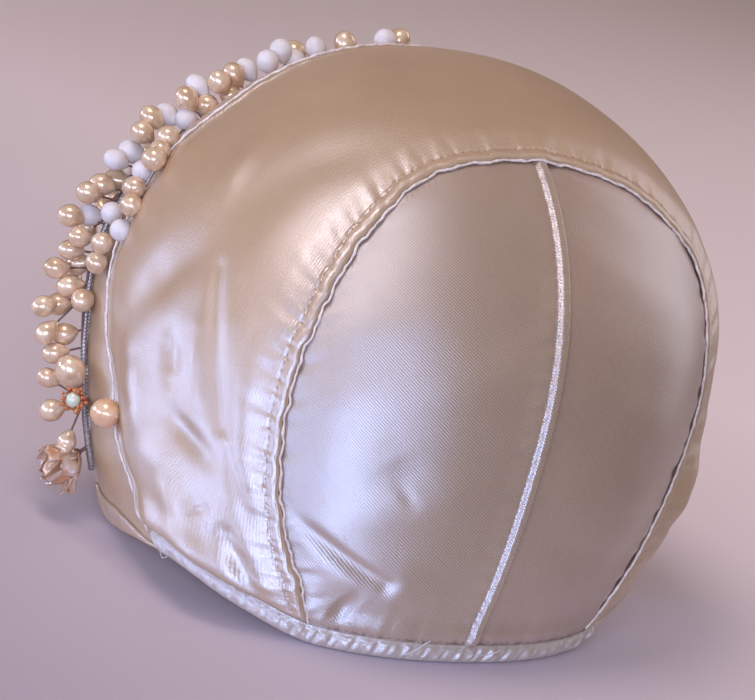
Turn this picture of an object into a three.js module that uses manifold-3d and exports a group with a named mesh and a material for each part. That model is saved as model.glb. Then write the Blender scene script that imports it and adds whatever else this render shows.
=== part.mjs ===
// A close-fitting satin bridal cap with a garland of wax buds along its front edge.
// The cap stands on its hem: +Z is up, the face opening looks along -Y and the
// wearer's left is +X. All lengths are in millimetres and all angles in degrees.
//
// The cloth lies on one smooth head form. A place on the form is given by two angles
// about the axis that runs from front to back: "reach" is the angle from the rearmost
// point (0) over the crown (about 90) to the brow, and "clock" is the turn round that
// axis, 0 at the top and +90 at the wearer's left side.

import * as THREE from "three";
import { mergeVertices } from "three/addons/utils/BufferGeometryUtils.js";
import Module from "manifold-3d";

const wasm = await Module();
wasm.setup();

// Head form
const halfWidth = 90.5;
const backReach = 100;
const browReach = 103;
const crownRise = 87;
const centreHeight = 72;
const planRoundness = 2.4;
const sideRoundness = 2.3;
const napeDrop = 132;
const earDrop = 119;
const cheekDrop = 175;
const browFall = 0.26;
const templeFall = 0.3;
const browFallStart = 88;
const browFallSpan = 40;
const lean = 2.7;

// Cloth
const wall = 1.4;
const layerGap = 0.85;
const lapWidth = 4.5;
const backLapWidth = 3.4;
const backLapShift = 1.8;
const foldDepth = 4;
const foldWidth = 6;
const bandLoft = 3.2;
const seamBump = 2.6;

// Hem
const hemHeight = 6.5;
const hemWall = 1.2;
const hemSlant = 0.065;
const earRise = 9.6;
const facingHeight = 9.5;
const facingWall = 1;
const edgeGap = 0.5;

// Garland
const stemRadius = 1.1;
const stemGap = 0.4;
const stemEnd = 126;
const stemBack = 1.5;
const clusterCount = 12;
const clusterFirst = 4.2;
const clusterLast = 101.5;
const budRadius = 3.7;
const budLength = 8.6;
const budSides = 9;

// Ear flower
const petalCount = 5;
const petalLength = 10.5;
const petalWidth = 9.5;
const petalWall = 1;
const heartRadius = 3;
const dropRadius = 4.1;
const dropLength = 10.5;
const knotRadius = 1.6;

const satin = new THREE.MeshStandardMaterial({ color: "#cdb59c", roughness: 0.34, metalness: 0 });
const satinEdge = new THREE.MeshStandardMaterial({ color: "#d8c8b8", roughness: 0.34, metalness: 0 });
const waxPearl = new THREE.MeshStandardMaterial({ color: "#d9c6a8", roughness: 0.25, metalness: 0 });
const waxPetal = new THREE.MeshStandardMaterial({ color: "#d9a878", roughness: 0.3, metalness: 0 });

// Seams, as reach against clock angle: the same on both sides of the cap.
const archSeam = [
  { clock: 0, reach: 52 },
  { clock: 25, reach: 51.8 },
  { clock: 45, reach: 48.4 },
  { clock: 72, reach: 44.3 },
  { clock: 108, reach: 43.2 },
  { clock: 133, reach: 43.5 },
  { clock: 155, reach: 48.5 },
];
const frontSeam = [
  { clock: 0, reach: 100.5 },
  { clock: 26, reach: 96.5 },
  { clock: 47, reach: 94 },
  { clock: 64, reach: 98 },
  { clock: 82, reach: 99 },
  { clock: 97, reach: 93.5 },
  { clock: 104, reach: 87 },
  { clock: 113, reach: 83.5 },
  { clock: 120, reach: 77 },
  { clock: 131, reach: 71 },
  { clock: 145, reach: 67 },
];
const frontEdge = [
  { clock: 0, reach: 121 },
  { clock: 50, reach: 117.5 },
  { clock: 90, reach: 111 },
  { clock: 115, reach: 102 },
  { clock: 127, reach: 98.3 },
  { clock: 150, reach: 97 },
];

// Height of the hem's lower edge, as a share of earRise, round the cap from the nape.
const hemLine = [
  { turn: 0, lift: 0 },
  { turn: 28, lift: 0 },
  { turn: 45, lift: 0.53 },
  { turn: 62, lift: 1 },
  { turn: 75, lift: 0.7 },
  { turn: 86, lift: 0.27 },
  { turn: 94, lift: 0 },
  { turn: 97, lift: 0.03 },
  { turn: 101, lift: 0.7 },
  { turn: 110, lift: 2 },
];

// Folds of the cloth. Each runs straight over the form from one place to another; depth
// is a share of foldDepth (minus sinks in, plus puffs out) and width of foldWidth.
const bandFolds = [
  { from: [78, 46], to: [81.6, 84.8], depth: -0.75, width: 0.9 },
  { from: [68, 72], to: [74, 98], depth: 0.6, width: 1.5 },
  { from: [88, 96], to: [80, 118], depth: 0.75, width: 1.2 },
  { from: [65.5, 71], to: [55, 97], depth: -0.45, width: 0.6 },
  { from: [68, 84], to: [63, 99], depth: -0.4, width: 0.55 },
  { from: [74, 106], to: [51, 138], depth: -0.8, width: 0.8 },
  { from: [63, 104], to: [50, 134], depth: 0.6, width: 0.8 },
  { from: [57, 100], to: [48.5, 130], depth: -0.5, width: 0.6 },
  { from: [84, 38], to: [66, 62], depth: -0.3, width: 1.4 },
  { from: [74, 127], to: [52, 138], depth: -0.6, width: 0.5 },
  { from: [60, -52], to: [50, -78], depth: 0.3, width: 1.8 },
  { from: [53, -84], to: [52, -116], depth: 1.1, width: 2.4 },
  { from: [86, -40], to: [70, -70], depth: -0.4, width: 1.6 },
  { from: [80, -92], to: [64, -128], depth: -0.5, width: 1.4 },
];
const backFolds = [
  { from: [41, 116], to: [32, 146], depth: -0.75, width: 0.8 },
  { from: [42, 136], to: [41, 149], depth: -0.4, width: 0.6 },
  { from: [36, 112], to: [30, 136], depth: 0.35, width: 1.1 },
  { from: [22, 90], to: [26, 122], depth: -0.3, width: 0.7 },
  { from: [38, 62], to: [24, 100], depth: 0.25, width: 1.6 },
  { from: [30, -60], to: [26, -120], depth: 0.2, width: 2 },
  { from: [38, -110], to: [36, -140], depth: -0.25, width: 1.4 },
];

// Buds of one cluster: step across the front edge in degrees of reach, lift above the
// cloth as a share of budLength, and shift along the stem in cluster steps.
const clusterBuds = [
  { across: -6.2, lift: 0.66, along: -0.28 },
  { across: 0.2, lift: 1.02, along: 0.18 },
  { across: 5.6, lift: 0.6, along: -0.02 },
];
const earSpread = 1.22;

// Drop pearls by the ear flower: places on the form, and lift as a share of dropLength.
const earPearls = [
  { reach: 101.5, clock: 110.5, lift: 0.66 },
  { reach: 107.5, clock: 114, lift: 0.95 },
  { reach: 90, clock: 112, lift: 0.5 },
  { reach: 100, clock: 116.5, lift: 1.05 },
];
const flowerPlace = { reach: 104, clock: 125.5, lift: 7.7 };

const rad = THREE.MathUtils.degToRad;
const deg = THREE.MathUtils.radToDeg;
const mix = THREE.MathUtils.lerp;

// Reads a table smoothly between its rows, never beyond them.
function along(table, key, value, x) {
  const rows = table.length;
  const slope = (k) => (table[k + 1][value] - table[k][value]) / (table[k + 1][key] - table[k][key]);
  const tangent = (k) => {
    if (k === 0 || k === rows - 1) return 0;
    const [a, b] = [slope(k - 1), slope(k)];
    return a * b <= 0 ? 0 : (2 * a * b) / (a + b);
  };
  const inside = Math.min(Math.max(x, table[0][key]), table[rows - 1][key]);
  let k = 0;
  while (k < rows - 2 && inside > table[k + 1][key]) k += 1;
  const span = table[k + 1][key] - table[k][key];
  const t = (inside - table[k][key]) / span;
  const h = t * t * (3 - 2 * t);
  const start = t * (1 - t) * (1 - t) * tangent(k) * span;
  const end = t * t * (t - 1) * tangent(k + 1) * span;
  return mix(table[k][value], table[k + 1][value], h) + start + end;
}

function smooth(low, high, x) {
  return THREE.MathUtils.smoothstep(x, low, high);
}

function direction(reach, clock) {
  const [r, c] = [rad(reach), rad(clock)];
  return new THREE.Vector3(Math.sin(r) * Math.sin(c), Math.cos(r), Math.sin(r) * Math.cos(c));
}

function reachOf(d) {
  return deg(Math.acos(THREE.MathUtils.clamp(d.y, -1, 1)));
}

function clockOf(d) {
  return deg(Math.atan2(d.x, d.z));
}

function turnOf(d) {
  return deg(Math.atan2(Math.abs(d.x), d.y));
}

const stemLift = stemRadius + stemGap;

// Distance from the centre of the head form to its skin.
function formRadius(d) {
  const turn = turnOf(d) / 90;
  const rearDrop = mix(napeDrop, earDrop, smooth(0, 1, turn));
  const drop = mix(rearDrop, cheekDrop, smooth(1, 2, turn));
  const height = d.z > 0 ? crownRise : drop;
  const length = d.y > 0 ? backReach : browReach;
  const plan = Math.abs(d.x / halfWidth) ** planRoundness + Math.abs(d.y / length) ** planRoundness;
  const sum = plan ** (sideRoundness / planRoundness) + Math.abs(d.z / height) ** sideRoundness;
  const clock = Math.abs(clockOf(d));
  const upper = mix(browFall, templeFall, Math.min(clock / 50, 1));
  const fall = upper * (1 - Math.min(Math.max((clock - 50) / 40, 0), 1));
  const past = Math.min(Math.max((reachOf(d) - browFallStart) / browFallSpan, 0), 1);
  return sum ** (-1 / sideRoundness) * (1 - fall * past * past);
}

const leanShift = backReach * 0.88 * Math.sin(rad(lean));

// The point that stands off the form by a given distance, with the cap on its hem.
function stand(d, off) {
  const p = d.clone().multiplyScalar(formRadius(d) + off);
  p.z += centreHeight;
  p.applyAxisAngle(new THREE.Vector3(1, 0, 0), -rad(lean));
  p.z += leanShift;
  return p;
}

// Angle over the form that a length on the cloth takes up.
function clothAngle(length) {
  return deg(length / crownRise);
}

function hemLift(d) {
  return earRise * along(hemLine, "turn", "lift", turnOf(d));
}

// Turns a path of directions downwards until its point, at a stand-off, meets a height.
function meet(path, low, high, target, off) {
  let [a, b] = [low, high];
  for (let n = 0; n < 40; n += 1) {
    const m = (a + b) / 2;
    const d = path(m);
    if (stand(d, off).z > target(d)) a = m;
    else b = m;
  }
  return a;
}

// Puff of the cloth at a direction, from the rows of a fold table.
function foldSum(folds, d) {
  let sum = 0;
  for (const fold of folds) {
    const a = direction(...fold.from);
    const b = direction(...fold.to);
    const run = b.clone().sub(a);
    const t = THREE.MathUtils.clamp(d.clone().sub(a).dot(run) / run.lengthSq(), 0, 1);
    const away = d.distanceTo(a.addScaledVector(run, t)) * crownRise / (foldWidth * fold.width);
    sum += fold.depth * foldDepth * Math.exp(-away * away);
  }
  return sum;
}

function named(geometry, material, name) {
  const mesh = new THREE.Mesh(geometry, material);
  mesh.name = name;
  return mesh;
}

// A closed shell from two grids of points, the outer and the inner face of a cloth.
function shell(outer, inner) {
  const [columns, rows] = [outer.length, outer[0].length];
  const position = [];
  const index = [];
  for (const face of [outer, inner]) {
    for (const column of face) {
      for (const p of column) position.push(p.x, p.y, p.z);
    }
  }
  const at = (face, i, j) => face * columns * rows + i * rows + j;
  const quad = (a, b, c, d) => index.push(a, b, c, a, c, d);
  for (let i = 0; i < columns - 1; i += 1) {
    for (let j = 0; j < rows - 1; j += 1) {
      quad(at(0, i, j), at(0, i, j + 1), at(0, i + 1, j + 1), at(0, i + 1, j));
      quad(at(1, i, j), at(1, i + 1, j), at(1, i + 1, j + 1), at(1, i, j + 1));
    }
    quad(at(0, i, 0), at(0, i + 1, 0), at(1, i + 1, 0), at(1, i, 0));
    quad(at(0, i + 1, rows - 1), at(0, i, rows - 1), at(1, i, rows - 1), at(1, i + 1, rows - 1));
  }
  for (let j = 0; j < rows - 1; j += 1) {
    quad(at(0, 0, j + 1), at(0, 0, j), at(1, 0, j), at(1, 0, j + 1));
    quad(at(0, columns - 1, j), at(0, columns - 1, j + 1), at(1, columns - 1, j + 1), at(1, columns - 1, j));
  }
  const geometry = new THREE.BufferGeometry();
  geometry.setAttribute("position", new THREE.Float32BufferAttribute(position, 3));
  geometry.setIndex(index);
  return facingOut(geometry);
}

// Swaps every triangle's turn when a closed geometry came out inside out.
function facingOut(geometry) {
  const p = geometry.getAttribute("position");
  const index = geometry.getIndex().array;
  const corner = (k) => new THREE.Vector3().fromBufferAttribute(p, index[k]);
  let volume = 0;
  for (let k = 0; k < index.length; k += 3) {
    volume += corner(k).dot(corner(k + 1).cross(corner(k + 2)));
  }
  if (volume < 0) {
    for (let k = 0; k < index.length; k += 3) {
      [index[k], index[k + 1]] = [index[k + 1], index[k]];
    }
  }
  return geometry;
}

// Even shares from 0 to 1.
function shares(count) {
  return Array.from({ length: count + 1 }, (none, k) => k / count);
}

// A sheet of cloth over the form: place(u, v) gives the direction, puff the stand-off.
function cloth(us, vs, place, puff, thickness) {
  const sheet = (drop) => us.map((u) => vs.map((v) => {
    const d = place(u, v);
    return stand(d, puff(d, u, v) - drop);
  }));
  return shell(sheet(0), sheet(thickness));
}

function archAt(clock) {
  return along(archSeam, "clock", "reach", Math.abs(clock));
}

function frontAt(clock) {
  return along(frontSeam, "clock", "reach", Math.abs(clock));
}

function edgeAt(clock) {
  return along(frontEdge, "clock", "reach", Math.abs(clock));
}

const overHem = (d) => hemLift(d) + hemHeight + edgeGap;
const lapAngle = clothAngle(lapWidth);

const lapped = wall + layerGap;

// Clock angle at which a line of the cloth, going down from the crown, meets a height.
function endClock(reachAt, target, off) {
  return meet((clock) => direction(reachAt(clock), clock), 100, 175, target, off);
}

// Back panels: one each side of the centre back seam, under the arch of the crown band.
// The wearer's left panel laps over the right one by the folded edge of the seam.
function backPanel(side) {
  const lapColumns = [0, 0.055, 0.11];
  const columns = lapColumns.concat(shares(9).map((share) => mix(0.19, 1, share)));
  const outer = (clock) => archAt(clock) + lapAngle;
  const corner = endClock(outer, overHem, 0);
  const shoulder = 50;
  const down = (angle) => new THREE.Vector3(0, Math.cos(rad(angle)), -Math.sin(rad(angle)));
  const nape = meet(down, -20, 80, overHem, lapped);
  const seamShift = (side > 0 ? backLapWidth - backLapShift : backLapShift) / backReach;
  const seam = (v) => down(mix(nape, -outer(0), v));
  const arch = (clock) => direction(outer(clock), clock);
  const turnEnd = turnOf(arch(corner));
  const bottom = (u) => {
    const turn = rad(mix(0, turnEnd, u));
    const path = (angle) => new THREE.Vector3(
      Math.sin(turn) * Math.cos(rad(angle)),
      Math.cos(turn) * Math.cos(rad(angle)),
      -Math.sin(rad(angle)),
    );
    return path(meet(path, -20, 80, overHem, lapped * (1 - u) ** 4));
  };
  const place = (u, v) => {
    const corners = bottom(0).multiplyScalar((1 - u) * (1 - v));
    corners.addScaledVector(bottom(1), u * (1 - v));
    corners.addScaledVector(arch(0), (1 - u) * v);
    corners.addScaledVector(arch(shoulder), u * v);
    const d = bottom(u).multiplyScalar(1 - v).addScaledVector(arch(shoulder * u), v);
    d.addScaledVector(seam(v), 1 - u).addScaledVector(arch(mix(corner, shoulder, v)), u);
    d.sub(corners).normalize();
    d.x -= seamShift * (1 - u) ** 4;
    d.x *= side;
    return d.normalize();
  };
  const puff = (d) => {
    const folds = foldSum(backFolds, d);
    const calm = smooth(0, 10, archAt(clockOf(d)) - reachOf(d));
    const ramp = backLapShift + 1;
    const lap = side > 0 ? 1 - smooth(ramp, ramp + backLapWidth, d.x * backReach) : 0;
    return folds * calm + lap * lapped;
  };
  return cloth(columns, shares(14), place, puff, wall);
}

// Crown band: the wide band from ear to ear, lapped over the back and the front.
function bandReach(clock, across) {
  return mix(archAt(clock), frontAt(clock), across);
}

function crownBand() {
  const rows = 7;
  const ends = [];
  for (let j = 0; j <= rows; j += 1) {
    ends.push(endClock((clock) => bandReach(clock, j / rows), overHem, lapped));
  }
  const place = (u, v) => {
    const clock = mix(-1, 1, u) * ends[Math.round(v * rows)];
    return direction(bandReach(clock, v), clock);
  };
  const puff = (d, u, v) => {
    const calm = smooth(0.1, 0.25, v) * smooth(0.1, 0.25, 1 - v);
    const loft = bandLoft * Math.sin(Math.PI * v) * smooth(0.1, 0.6, Math.abs(mix(-1, 1, u)));
    const bump = seamBump * Math.exp(-((d.x * backReach / 9) ** 2)) * (1 - smooth(0, 0.3, v));
    return lapped + foldSum(bandFolds, d) * calm + loft + bump;
  };
  return cloth(shares(48), shares(rows), place, puff, wall);
}

// Front band: the narrow band that frames the face, tucked under the crown band.
function frontReach(clock, across) {
  return mix(frontAt(clock) - lapAngle, edgeAt(clock), across);
}

function frontBand() {
  const rows = 3;
  const ends = [];
  for (let j = 0; j <= rows; j += 1) {
    ends.push(endClock((clock) => frontReach(clock, j / rows), hemLift, 0));
  }
  const place = (u, v) => {
    const clock = mix(-1, 1, u) * ends[Math.round(v * rows)];
    return direction(frontReach(clock, v), clock);
  };
  return cloth(shares(40), shares(rows), place, () => 0, wall);
}

// A direction at a turn round the cap whose point, at a stand-off, has a given height.
function atHeight(turn, height, off) {
  const t = rad(turn);
  const path = (angle) => {
    const level = Math.cos(rad(angle));
    return new THREE.Vector3(Math.sin(t) * level, Math.cos(t) * level, -Math.sin(rad(angle)));
  };
  let [a, b] = [-20, 85];
  for (let n = 0; n < 40; n += 1) {
    const m = (a + b) / 2;
    if (stand(path(m), off).z > height) a = m;
    else b = m;
  }
  return stand(path(a), off);
}

// A strip round the cap between two heights above the hem's lower edge.
function strip(columns, turnAt, lowAt, highAt, outside, insideAt) {
  const face = (offAt) => shares(columns).map((u) => shares(1).map((v) => {
    const turn = turnAt(u, v);
    const lift = earRise * along(hemLine, "turn", "lift", Math.abs(turn));
    return atHeight(turn, lift + mix(lowAt(u), highAt(u), v), offAt(u));
  }));
  return shell(face(() => outside), face(insideAt));
}

const bandCorner = endClock((clock) => bandReach(clock, 1), overHem, lapped);
const seamTurn = turnOf(direction(frontAt(bandCorner), bandCorner));
const hemTurn = seamTurn + clothAngle(1);
const edgeCorner = endClock(edgeAt, hemLift, 0);
const facingEnd = turnOf(direction(edgeAt(edgeCorner), edgeCorner)) - clothAngle(2.5);

function hemBinding() {
  const turnAt = (u, v) => {
    const share = mix(-1, 1, u);
    return hemTurn * share * (1 - hemSlant * (1 - v) * share ** 6);
  };
  const insideAt = (u) => mix(-wall, layerGap, smooth(0.8, 0.9, Math.abs(mix(-1, 1, u))));
  return strip(44, turnAt, () => 0, () => hemHeight, layerGap + hemWall, insideAt);
}

// Ear facing: the front band's lower corner, turned up on the outside.
function earFacing(side) {
  const start = hemTurn * (1 - hemSlant * 0.7) + clothAngle(edgeGap * 2);
  const forward = (u) => (side > 0 ? u : 1 - u);
  const turnAt = (u) => side * mix(start, facingEnd, forward(u));
  const highAt = (u) => mix(facingHeight * 0.18, facingHeight, smooth(0, 0.85, forward(u)));
  return strip(9, turnAt, () => edgeGap, highAt, layerGap + facingWall, () => layerGap);
}

function solid(geometry) {
  const bare = new THREE.BufferGeometry();
  bare.setAttribute("position", geometry.getAttribute("position").clone());
  if (geometry.getIndex()) bare.setIndex(geometry.getIndex().clone());
  const merged = mergeVertices(bare, 1e-4);
  const mesh = new wasm.Mesh({
    numProp: 3,
    vertProperties: Float32Array.from(merged.getAttribute("position").array),
    triVerts: Uint32Array.from(merged.getIndex().array),
  });
  return new wasm.Manifold(mesh);
}

function fused(geometries) {
  const whole = geometries.map(solid).reduce((sum, next) => sum.add(next));
  const mesh = whole.getMesh();
  const geometry = new THREE.BufferGeometry();
  geometry.setAttribute("position", new THREE.BufferAttribute(mesh.vertProperties, 3));
  geometry.setIndex(new THREE.BufferAttribute(mesh.triVerts, 1));
  return geometry;
}

// A drop-shaped bud on its stalk: a lathe that starts as a point inside the stem and
// swells to the bud round its centre.
function drop(root, centre, radius, length, sides) {
  const run = centre.clone().sub(root);
  const reach = run.length();
  const profile = [
    new THREE.Vector2(0, 0),
    new THREE.Vector2(radius * 0.42, Math.max(reach - length * 0.36, length * 0.08)),
    new THREE.Vector2(radius, reach + length * 0.06),
    new THREE.Vector2(radius * 0.68, reach + length * 0.36),
    new THREE.Vector2(0, reach + length * 0.5),
  ];
  const geometry = new THREE.LatheGeometry(profile, sides);
  const up = new THREE.Vector3(0, 1, 0);
  geometry.applyQuaternion(new THREE.Quaternion().setFromUnitVectors(up, run.normalize()));
  geometry.translate(root.x, root.y, root.z);
  return geometry;
}

// The wire stem of one half of the garland, from the middle of the brow to the ear.
function stemGeometry(side) {
  const steps = 26;
  const points = [];
  const first = clothAngle(edgeGap);
  for (let n = 0; n <= steps; n += 1) {
    const clock = mix(first, stemEnd, n / steps);
    points.push(stand(direction(edgeAt(clock) - stemBack, side * clock), stemLift));
  }
  const section = new THREE.Shape();
  for (let n = 0; n < 6; n += 1) {
    const turn = (n / 6) * 2 * Math.PI;
    const [x, y] = [stemRadius * Math.cos(turn), stemRadius * Math.sin(turn)];
    if (n === 0) section.moveTo(x, y);
    else section.lineTo(x, y);
  }
  section.closePath();
  const route = new THREE.CatmullRomCurve3(points);
  return new THREE.ExtrudeGeometry(section, { steps, bevelEnabled: false, extrudePath: route });
}

function garlandHalf(side) {
  const pieces = [stemGeometry(side)];
  const step = (clusterLast - clusterFirst) / (clusterCount - 1);
  for (let n = 0; n < clusterCount; n += 1) {
    for (const bud of clusterBuds) {
      const clock = clusterFirst + step * (n + bud.along * (n > 0 ? 1 : 0));
      const root = stand(direction(edgeAt(clock) - stemBack, side * clock), stemLift);
      const place = direction(edgeAt(clock) - stemBack + bud.across, side * clock);
      const spread = mix(1, earSpread, smooth(45, 90, clock));
      const centre = stand(place, budLength * bud.lift * spread);
      pieces.push(drop(root, centre, budRadius, budLength, budSides));
    }
  }
  return fused(pieces);
}

// One cupped petal, standing on the flower's centre and leaning outwards.
function petal(turn, tilt) {
  const columns = 2;
  const rows = 3;
  const outer = [];
  const inner = [];
  for (let i = 0; i <= columns; i += 1) {
    outer.push([]);
    inner.push([]);
    for (let j = 0; j <= rows; j += 1) {
      const [across, up] = [mix(-1, 1, i / columns), j / rows];
      const half = (petalWidth / 2) * Math.sin(Math.PI * mix(0.12, 0.86, up));
      const cup = 0.22 * petalLength * Math.sin(Math.PI * up * 0.5) * (across * across - 0.4);
      const p = new THREE.Vector3(across * half, cup + 0.12 * petalLength * up * up, petalLength * up);
      outer[i].push(p);
      inner[i].push(p.clone().add(new THREE.Vector3(0, petalWall, 0)));
    }
  }
  const geometry = shell(outer, inner);
  geometry.rotateX(rad(90 - tilt));
  geometry.rotateZ(rad(turn));
  return geometry;
}

function flowerGeometry(side) {
  const centre = stand(direction(flowerPlace.reach, side * flowerPlace.clock), flowerPlace.lift);
  const stem = stand(direction(edgeAt(stemEnd) - stemBack, side * (stemEnd - 1)), stemLift);
  const axis = centre.clone().sub(stem).normalize();
  const root = stem.clone().addScaledVector(axis, stemRadius + 2 * stemGap);
  const face = new THREE.Quaternion().setFromUnitVectors(new THREE.Vector3(0, 0, 1), axis);
  const pieces = [drop(root, centre, heartRadius, heartRadius * 2, 8)];
  for (let n = 0; n < petalCount; n += 1) {
    const geometry = petal((n * 360) / petalCount, n % 2 ? 38 : 24);
    geometry.applyQuaternion(face);
    geometry.translate(centre.x, centre.y, centre.z);
    pieces.push(geometry);
  }
  return fused(pieces);
}

function earPearlGeometry(side) {
  const hub = stand(direction(96.5, side * 114), knotRadius + stemGap);
  const knot = new THREE.IcosahedronGeometry(knotRadius, 0);
  knot.translate(hub.x, hub.y, hub.z);
  const pieces = [knot];
  for (const pearl of earPearls) {
    const centre = stand(direction(pearl.reach, side * pearl.clock), dropLength * pearl.lift);
    pieces.push(drop(hub, centre, dropRadius, dropLength, budSides));
  }
  return fused(pieces);
}

const cap = new THREE.Group();
cap.add(named(backPanel(1), satin, "back_panel_left"));
cap.add(named(backPanel(-1), satin, "back_panel_right"));
cap.add(named(crownBand(), satin, "crown_band"));
cap.add(named(frontBand(), satin, "front_band"));
cap.add(named(hemBinding(), satinEdge, "hem_binding"));
for (const [side, word] of [[1, "left"], [-1, "right"]]) {
  cap.add(named(earFacing(side), satinEdge, `ear_facing_${word}`));
  cap.add(named(garlandHalf(side), waxPearl, `garland_${word}`));
  cap.add(named(earPearlGeometry(side), waxPearl, `ear_pearls_${word}`));
  cap.add(named(flowerGeometry(side), waxPetal, `ear_flower_${word}`));
}

// The origin is the middle of the cap's footprint, on the floor.
const box = new THREE.Box3().setFromObject(cap);
const middle = box.getCenter(new THREE.Vector3());
cap.position.set(-middle.x, -middle.y, -box.min.z);
cap.updateMatrixWorld(true);

export default cap;
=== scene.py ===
"""A satin bridal cap with a garland of wax buds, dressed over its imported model."""

import math
from collections import namedtuple

import bpy
import numpy as np
from mathutils import Matrix, Vector


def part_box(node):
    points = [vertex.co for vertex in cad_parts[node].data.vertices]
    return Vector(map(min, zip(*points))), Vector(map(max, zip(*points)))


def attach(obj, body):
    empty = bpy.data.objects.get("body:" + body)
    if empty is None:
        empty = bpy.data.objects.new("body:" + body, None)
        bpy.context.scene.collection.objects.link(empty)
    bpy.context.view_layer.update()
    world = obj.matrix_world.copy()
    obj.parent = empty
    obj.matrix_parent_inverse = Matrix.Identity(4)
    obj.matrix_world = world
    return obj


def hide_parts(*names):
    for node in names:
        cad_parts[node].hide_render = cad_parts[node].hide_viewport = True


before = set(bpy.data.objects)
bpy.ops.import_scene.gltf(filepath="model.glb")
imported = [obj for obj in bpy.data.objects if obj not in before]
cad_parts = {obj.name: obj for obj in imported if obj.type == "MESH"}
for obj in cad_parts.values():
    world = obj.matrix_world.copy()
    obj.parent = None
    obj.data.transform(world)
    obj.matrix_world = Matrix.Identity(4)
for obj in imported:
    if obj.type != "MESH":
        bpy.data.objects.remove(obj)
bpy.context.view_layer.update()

MM = 0.001
WORDS = {1: "left", -1: "right"}

# The form the cap is sewn to, in millimetres and degrees. A place on it is given by two angles about the
# front-to-back axis: reach, from the rearmost point over the crown, and clock, the turn
# round that axis, 0 at the top and +90 at the wearer's left.
HALF_WIDTH = 90.5
BACK_REACH = 100.0
BROW_REACH = 103.0
CROWN_RISE = 87.0
CENTRE_HEIGHT = 72.0
PLAN_ROUNDNESS = 2.4
SIDE_ROUNDNESS = 2.3
NAPE_DROP = 132.0
EAR_DROP = 119.0
CHEEK_DROP = 175.0
BROW_FALL = 0.26
TEMPLE_FALL = 0.3
TEMPLE_CLOCK = 50.0
TEMPLE_FADE = 40.0
BROW_FALL_START = 88.0
BROW_FALL_SPAN = 40.0
LEAN = math.radians(2.7)
NAPE_SHARE = 0.88
NAPE_RISE = BACK_REACH * NAPE_SHARE * math.sin(LEAN)
CLOTH_RADIUS = 95.0

WALL = 1.4
LAYER_GAP = 0.85
CLOTH_STAND = WALL + LAYER_GAP
HEM_HEIGHT = 6.5
HEM_WALL = 1.2
HEM_SLANT = 0.065
EAR_RISE = 9.6
FACING_HEIGHT = 9.5
EDGE_GAP = 0.5
HEM_TUCK = 0.9
# Where the height of a seam is looked for: clocks toward the cheek, angles below level.
CLOCK_SEARCH = (100.0, 175.0)
DOWN_SEARCH = (-20.0, 85.0)
SEARCH_ROUNDS = 40

LAP_WIDTH = 4.5
BACK_LAP_WIDTH = 3.4
BACK_LAP_SHIFT = 1.8

Seam = namedtuple("Seam", "clock reach")
ARCH_SEAM = [
    Seam(0, 52), Seam(25, 51.8), Seam(45, 48.4), Seam(72, 44.3),
    Seam(108, 43.2), Seam(133, 43.5), Seam(155, 48.5),
]
# How far the right half of the arch seam leaves the left one's mirror image, in degrees.
SHOULDER_SHIFT = 4.0
SHOULDER_CLOCK = 52.0
SHOULDER_SPREAD = 13.0
NAPE_SHIFT = 3.5
NAPE_CLOCK = 112.0
NAPE_SPREAD = 20.0
# How much flatter the crown band lies on the wearer's right than on the left.
RIGHT_CALM = 0.75
FRONT_SEAM = [
    Seam(0, 100.5), Seam(26, 96.5), Seam(47, 94), Seam(64, 98), Seam(82, 99), Seam(97, 93.5),
    Seam(104, 87), Seam(113, 83.5), Seam(120, 77), Seam(131, 71), Seam(145, 67),
]
FRONT_EDGE = [
    Seam(0, 121), Seam(50, 117.5), Seam(90, 111), Seam(115, 102), Seam(127, 98.3), Seam(150, 97),
]
Hem = namedtuple("Hem", "turn lift")
HEM_LINE = [
    Hem(0, 0), Hem(28, 0), Hem(45, 0.53), Hem(62, 1), Hem(75, 0.7),
    Hem(86, 0.27), Hem(94, 0), Hem(97, 0.03), Hem(101, 0.7), Hem(110, 2),
]

# Folds run straight over the form between two places; depth and width in millimetres,
# a minus sign sinks in.
Fold = namedtuple("Fold", "reach_from clock_from reach_to clock_to depth width")
BAND_FOLDS = [
    Fold(79, 84, 68.5, 68.5, -2.2, 6.4),
    Fold(68.5, 68.5, 64, 47, -1.2, 8.0),
    Fold(64, 47, 60, 34, -0.8, 6.5),
    Fold(75.7, 51.4, 72.5, 61.4, 1.1, 4.0),
    Fold(64, 71.5, 53.3, 99, -1.9, 2.4),
    Fold(51.5, 104, 47.5, 120, -1.2, 2.2),
    Fold(54.6, 79, 47, 122, 1.6, 5.5),
    Fold(62.3, 83, 58.6, 98.6, 1.1, 3.2),
    Fold(67.7, 87, 65.7, 94.5, -1.3, 3.2),
    Fold(78.5, 94.7, 71, 109, 2.0, 6.5),
    Fold(64, 101, 55.5, 106, -1.8, 3.4),
    Fold(65, 110.6, 57, 129, 2.2, 5.5),
    Fold(57, 115.6, 56.6, 116.5, -1.0, 3.0),
    Fold(52, 120.5, 49.7, 136.4, -2.6, 2.6),
    Fold(54, 118, 50, 138, 1.6, 5.5),
    Fold(66, 124.7, 50, 138, -1.7, 1.5),
    Fold(60, -52, 50, -78, 1.2, 10.8),
    Fold(46.5, -93, 46.5, -115, 4.3, 9.0),
    Fold(86, -40, 70, -70, -1.6, 9.6),
    Fold(80, -92, 64, -128, -2.0, 8.4),
]
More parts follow.
